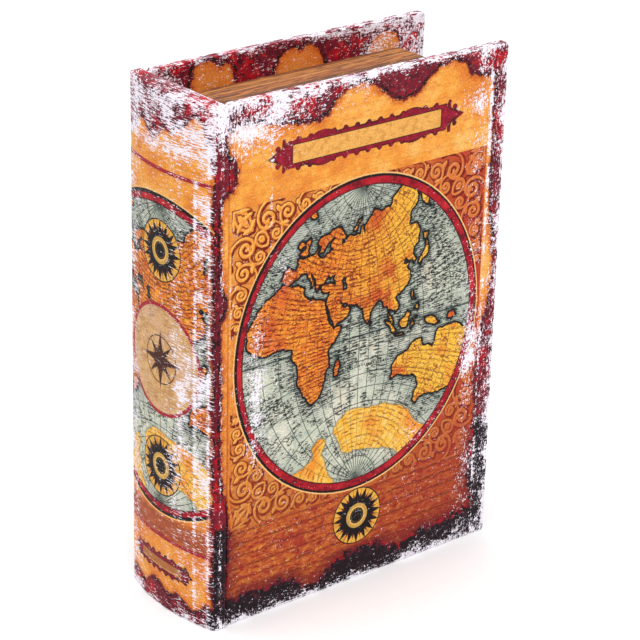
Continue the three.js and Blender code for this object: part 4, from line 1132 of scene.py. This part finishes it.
def rubbed_bare(tree, cloth):
    """Where the coating is gone: flecks of 1 mm, and scratches of 4 mm, upright at the sides, else level."""
    fleck = add(tree, "TexNoise", {"Vector": cloth.place, "Scale": 0.95, "Detail": 3.0, "Roughness": 0.7,
                                   "Distortion": 0.9})
    scratch_up = drawn_noise(tree, cloth.place, (1.9, 0.26, 1), 3.0, 0.68)
    scratch_over = drawn_noise(tree, cloth.place, (0.26, 1.9, 1), 3.0, 0.68)
    scratch = add(tree, "Mix", {0: cloth.upright, 2: scratch_over, 3: scratch_up})
    scratched = add(tree, "MapRange", [cloth.upright, -0.6, 0.0, 0.68, 0.42])
    loss = add(tree, "Mix", {0: scratched, 2: fleck, 3: scratch})
    broad = add(tree, "TexNoise", {"Vector": cloth.place, "Scale": 0.12, "Detail": 2.0})
    rubbed = cover(tree, cloth.rub, (broad, 0.36, 0.64, 0.62, 1.3))
    kept = add(tree, "MapRange", [rubbed, 0.0, 1.0, 0.66, 0.38])
    gone = add(tree, "Math", [loss, kept], operation="SUBTRACT")
    return add(tree, "MapRange", [gone, -0.006, 0.02])


def printed_cloth():
    """Book cloth, woven and coated, printed with an old chart and rubbed through to its white ground: matt
    inks with broken lines, a fine weave, and flecks and long scratches where the coating is gone."""
    material, tree = blank("printed book cloth, rubbed")
    cloth = cloth_values(tree)
    engrave(tree, cloth)
    colour = overprint(tree, parchment(tree, cloth), [(scrollwork(tree, cloth), (cloth.panel, -0.1, 0.2))])
    for layer in (rimmed_chart, compass_roundel, sun_rose, framed_banner, scorched_leather):
        colour = layer(tree, cloth, colour)
    grain = add(tree, "MapRange", [cloth.speck, 0.32, 0.66, 0.74, 1.1])
    colour = add(tree, "VectorMath", {0: colour, 3: grain}, operation="SCALE")
    bare = rubbed_bare(tree, cloth)
    ground = overprint(tree, "#F4EEF6", [("#D9D2E4", (cloth.speck, 0.5, 0.36, 0, 0.8))])
    colour = overprint(tree, colour, [(ground, bare)])

    warp, weft = [add(tree, "Math", [way, THREADS], operation="MULTIPLY") for way in (cloth.across, cloth.up)]
    warp, weft = [add(tree, "Math", [way], operation="SINE") for way in (warp, weft)]
    weave = add(tree, "Math", [warp, weft], operation="MULTIPLY")
    sunk = add(tree, "Math", [bare, -0.5, cloth.speck], operation="MULTIPLY_ADD")
    height = add(tree, "Math", [weave, 0.12, sunk], operation="MULTIPLY_ADD")
    finished(tree, add(tree, "BsdfPrincipled", {
        "Base Color": colour,
        "Roughness": add(tree, "MapRange", [bare, 0, 1, 0.55, 0.8]),
        "Normal": add(tree, "Bump", {"Strength": 0.35, "Distance": 0.00012, "Height": height}),
        "Specular IOR Level": 0.1,
    }))
    return material


def page_edges():
    """Book paper stained brown and gilded thinly, seen edge on: streaks of 1.5 mm and threads of 0.5 mm,
    drawn out along every leaf, and painted shade in the creases between the leaves, darkest where a leaf's
    arch sinks deepest. The front and back of the block are flat sheets of brown board, with short fibres of 2
    mm."""
    material, tree = blank("stained paper edges")
    crease_shade, own, plain = field(tree, "leaf")
    place = add(tree, "TexCoord", out=3)
    streak = drawn_noise(tree, place, (25, 640, 25), 4.0, 0.6)
    thread = drawn_noise(tree, place, (150, 1900, 150), 3.0, 0.6)
    fibre = drawn_noise(tree, place, (480, 480, 480), 4.0, 0.7, 1.5)
    board = overprint(tree, "#9A6434", [
        ("#B47E48", (fibre, 0.48, 0.62)),
        ("#6E421E", (fibre, 0.44, 0.34)),
    ])
    colour = overprint(tree, "#945224", [
        ("#B87238", (streak, 0.5, 0.58)),
        ("#7C3E1C", (streak, 0.48, 0.4)),
        ("#CC8A48", (own, 0.3, 0.15, 0, 0.8)),
        ("#4E2A12", (own, 0.55, 0.75, 0, 0.85)),
        ("#43240F", (thread, 0.47, 0.39, 0, 0.8)),
        ("#CE924C", (thread, 0.56, 0.65, 0, 0.65)),
        # Painted shade: the creases between the leaves are darkened by the depth of the arch
        ("#3A1E0E", (crease_shade, 0.2, 0.9, 0, 0.9)),
        (board, plain),
    ])
    normal = add(tree, "Bump", {"Strength": 0.4, "Distance": 0.0001, "Height": thread})
    finished(tree, add(tree, "BsdfPrincipled", {"Base Color": colour, "Roughness": 0.6, "Normal": normal}))
    return material


def powder_coat():
    """Steel with a baked black powder coat: an orange peel of 0.6 mm, and a sheen that breaks up on it."""
    material, tree = blank("black powder coat on steel")
    place = add(tree, "TexCoord", out=3)
    peel = add(tree, "TexNoise", {"Vector": place, "Scale": 1700.0, "Detail": 2.0})
    cloud = add(tree, "TexNoise", {"Vector": place, "Scale": 240.0, "Detail": 5.0, "Roughness": 0.7})
    finished(tree, add(tree, "BsdfPrincipled", {
        "Base Color": overprint(tree, "#1C1D20", [("#27292C", (cloud, 0.45, 0.7))]),
        "Roughness": add(tree, "MapRange", [cloud, 0.3, 0.7, 0.42, 0.58]),
        "Normal": add(tree, "Bump", {"Strength": 0.5, "Distance": 0.00008, "Height": peel}),
    }))
    return material


def metal(name, light, dark, roughness, brushed=(1, 1, 1)):
    """Bare metal with a grain of 1 mm, coarser than the real one, so that it shows. A small share of the
    brushing draws the grain out along its axis."""
    material, tree = blank(name)
    place = add(tree, "TexCoord", out=3)
    lines = drawn_noise(tree, place, tuple(900.0 * share for share in brushed), 3.0)
    cloud = add(tree, "TexNoise", {"Vector": place, "Scale": 120.0, "Detail": 3.0})
    finished(tree, add(tree, "BsdfPrincipled", {
        "Base Color": overprint(tree, light, [(dark, (lines, 0.4, 0.7, 0, 0.6))]),
        "Metallic": 1.0,
        "Roughness": add(tree, "MapRange", [cloud, 0.3, 0.7, roughness * 0.85, roughness * 1.25]),
        "Normal": add(tree, "Bump", {"Strength": 0.25, "Distance": 0.00003, "Height": lines}),
    }))
    return material


def felt_cloth(name, light, dark):
    """Pressed wool felt: a matted pile of 0.8 mm tufts with a soft sheen at a glancing angle."""
    material, tree = blank(name)
    place = add(tree, "TexCoord", out=3)
    tuft = drawn_noise(tree, place, (1300, 1300, 1300), 4.0, 0.7, 0.8)
    cloud = add(tree, "TexNoise", {"Vector": place, "Scale": 45.0, "Detail": 3.0})
    finished(tree, add(tree, "BsdfPrincipled", {
        "Base Color": overprint(tree, dark, [(light, (tuft, 0.4, 0.65)), (dark, (cloud, 0.5, 0.7, 0, 0.5))]),
        "Roughness": 0.95,
        "Sheen Weight": 0.4,
        "Sheen Roughness": 0.4,
        "Normal": add(tree, "Bump", {"Strength": 0.8, "Distance": 0.0003, "Height": tuft}),
    }))
    return material


# The book, put together
def with_cloth(cloth, drawing):
    """A print's fields at each place of the cloth, and the place itself."""
    fields = drawing(cloth[:, 0], cloth[:, 1])
    fields["cloth"] = (cloth[:, 0], cloth[:, 1], np.zeros(len(cloth)))
    return fields


def wrapped_spine(cloth, reach):
    """The spine's fields, and past its corners those of the boards, because one cloth covers all three."""
    fields = with_cloth(cloth, spine_print)
    for hand, drawing in ((1, front_print), (-1, back_print)):
        past = cloth[:, 0] * hand > reach
        board = drawing(cloth[past, 0] * hand - reach, cloth[past, 1])
        for name, values in board.items():
            for own, other in zip(fields[name], values):
                own[past] = other
    return fields


def joint_strip(name, node, outward, material, face, drawing):
    """The cloth in a groove: a strip with its own thickness, drawn nearly flush with the boards and sunk
    between them by half a wave. The front one rides on no body, and its place is baked into its mesh."""
    low, high = box_mm(node)
    across, up = JOINT_GRID
    t, z = np.meshgrid(np.linspace(0, 1, across), np.linspace(low[2], high[2], up), indexing="ij")
    x = low[0] + t * (high[0] - low[0])
    top = (high[1] if outward > 0 else low[1]) + outward * (JOINT_PROUD - JOINT_SINK * np.sin(math.pi * t))
    outer, inner = [np.stack([x, y, z], axis=-1).reshape(-1, 3) for y in (top, top - outward * JOINT_THICK)]
    ring = grid_outline(*t.shape)
    faces = grid_faces(*t.shape) + grid_faces(*t.shape, t.size) + between_rings(ring, ring + t.size)
    places = np.concatenate([outer, inner])
    fields = with_cloth(places[:, [0, 2]] - [face, 0], drawing)
    body = "book" if outward > 0 else None
    piece = make_piece(name, places, faces, material, body, [node], fields)
    if outward < 0:
        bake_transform(piece)


def dress_covers(material):
    """One printed cloth over the boards, the spine and the grooves, measured across from the spine's face."""
    front_low, front_high = box_mm("front_cover_board")
    face = front_high[0] - CLOTH_REACH
    places, faces, cloth = bound_board(front_low, front_high, -1, FRONT_STEP, FRONT_TURNED)
    make_piece("front_cover", places, faces, material, "front_cover", ["front_cover_board"],
               with_cloth(cloth - [face, 0], front_print))

    places, faces, cloth = bound_board(*box_mm("back_cover_board"), 1, BACK_STEP, BACK_TURNED)
    make_piece("back_cover", places, faces, material, "book", ["back_cover_board"],
               with_cloth(cloth - [face, 0], back_print))

    low, high = box_mm("spine_board")
    line, along = spine_line(high[0], face, (high[1] - low[1]) / 2, face - low[0])
    places, faces, cloth = spine_skin(low, high, line, along)
    make_piece("spine", places, faces, material, "book", ["spine_board"],
               wrapped_spine(cloth, along.max() - (high[0] - face)))
    joint_strip("front_joint", "front_groove_cloth", -1, material, face, front_print)
    joint_strip("back_joint", "back_groove_cloth", 1, material, face, back_print)


def finish_solids(looks):
    """Gives the metal solids their finishes, and breaks the sharp edges of the larger ones."""
    for material, names in looks.items():
        for name in names:
            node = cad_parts[name]
            node.data.materials.clear()
            node.data.materials.append(material)
    for name, width in BROKEN_EDGES.items():
        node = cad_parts[name]
        weld = node.modifiers.new("joined", "WELD")
        weld.merge_threshold = 1e-6
        bevel = node.modifiers.new("broken edges", "BEVEL")
        bevel.width, bevel.segments = width * MM, 2
        bevel.limit_method, bevel.angle_limit = "ANGLE", math.radians(40)
        bevel.use_clamp_overlap = True


def lay_pages():
    """The page block, in place of its four walls."""
    low, _ = box_mm("page_wall_tail")
    _, high = box_mm("page_wall_head")
    wall = box_mm("page_wall_spine")[1][0] - low[0]
    places, faces, fields = page_block(low + [0, BLOCK_CLEAR, 0], high, wall)
    make_piece("page_block", places, faces, page_edges(), "book",
               ["page_wall_head", "page_wall_tail", "page_wall_spine", "page_wall_fore_edge"], fields)


def lay_lining():
    """The velvet on the inner face of the front cover, as a sheet that lies on it."""
    node = "front_cover_lining"
    low, high = box_mm(node)
    velvet = felt_cloth("velvet lining", "#6E1B28", "#3C0C16")
    places, faces = soft_panel(low, high, *LINING_ROUNDS, 1)
    lining = make_piece("cover_lining", places, faces, velvet, "front_cover", [node])


def lay_felt():
    """The felt pad on the floor of the steel box."""
    felt = felt_cloth("wool felt", "#6A1A26", "#380B14")
    places, faces = soft_panel(*box_mm("felt_pad"), *FELT_ROUNDS, -1)
    pad = make_piece("felt_floor", places, faces, felt, "book", ["felt_pad"])


def finish_metal():
    """The finishes of the box with its lid and hinge, of the lock and strike, the magnets and the keys."""
    coat = powder_coat()
    bright = metal("bright zinc plated steel", "#C4C7CB", "#9DA1A6", 0.32, (1, 0.1, 1))
    nickel = metal("polished nickel plate", "#D6D5CF", "#C2C1BB", 0.16)
    brass = metal("brass, tumbled", "#D0AA5A", "#B28C42", 0.3)
    screws = [f"box_screw_{n}" for n in (1, 2, 3, 4)]
    finish_solids({
        coat: ["steel_box", "safe_lid", "box_hinge_leaf", "lid_hinge_leaf"],
        bright: ["hinge_pin", "lock_strike", "lock_nut", "lock_cam", "cam_screw", "keeper_upper",
                 "keeper_lower"] + screws,
        nickel: ["lock_barrel", "lock_plug", "magnet_upper", "magnet_lower"],
        brass: ["key_1", "key_2"],
    })


def make_book():
    """Dresses the covers, lays the pages, the lining and the felt, and finishes the metal."""
    dress_covers(printed_cloth())
    lay_pages()
    lay_lining()
    lay_felt()
    finish_metal()


# Floor and light
def soft_lamp(name, place, aim, size, power):
    """A square soft box that shines from its place towards its aim."""
    data = bpy.data.lights.new(name, "AREA")
    data.shape, data.size, data.energy = "SQUARE", size, power
    lamp = bpy.data.objects.new(name, data)
    turn = (Vector(aim) - Vector(place)).to_track_quat("-Z", "Y").to_matrix().to_4x4()
    lamp.matrix_world = Matrix.Translation(place) @ turn
    bpy.context.scene.collection.objects.link(lamp)


def pale_floor():
    """A round pale floor that fades into the white room."""
    material, tree = blank("white paper sweep")
    paper = add(tree, "BsdfDiffuse", {"Color": ink("#F7F6F6")})
    far = add(tree, "VectorMath", [add(tree, "TexCoord", out=3)], out=1, operation="LENGTH")
    fade = add(tree, "MapRange", [far, *FLOOR_FADE])
    finished(tree, add(tree, "MixShader", [fade, paper, add(tree, "BsdfTransparent")]))
    mesh = bpy.data.meshes.new("floor")
    turn = np.linspace(0, 2 * math.pi, FLOOR_SIDES + 1)[:-1]
    places = np.column_stack([FLOOR_REACH * np.cos(turn), FLOOR_REACH * np.sin(turn), np.zeros(FLOOR_SIDES)])
    mesh.from_pydata(places, [], [list(range(FLOOR_SIDES))])
    mesh.materials.append(material)
    floor = bpy.data.objects.new("floor", mesh)
    bpy.context.scene.collection.objects.link(floor)


def white_room():
    """A room that is white where it is seen, and a dim pale grey as a light."""
    world = bpy.data.worlds.new("room")
    world.use_nodes = True
    tree = world.node_tree
    tree.nodes.clear()
    ray = add(tree, "LightPath").node.outputs
    seen = add(tree, "Math", [ray["Is Camera Ray"], ray["Is Glossy Ray"]], operation="ADD")
    seen = add(tree, "Math", [seen, ray["Is Transmission Ray"]], operation="ADD", use_clamp=True)
    dim = add(tree, "Background", {"Color": ink("#F4F4F6"), "Strength": 0.5})
    white = add(tree, "Background", {"Color": (1, 1, 1, 1), "Strength": 1.0})
    add(tree, "OutputWorld", {"Surface": add(tree, "MixShader", [seen, dim, white])})
    bpy.context.scene.world = world


def light_the_room():
    """Soft boxes in front, at both sides and overhead, over a pale floor in a white room."""
    pale_floor()
    white_room()
    for lamp in LAMPS:
        soft_lamp(*lamp)
    bpy.context.scene.view_settings.view_transform = "Standard"


place_camera()
make_book()
light_the_room()
bpy.context.view_layer.update()
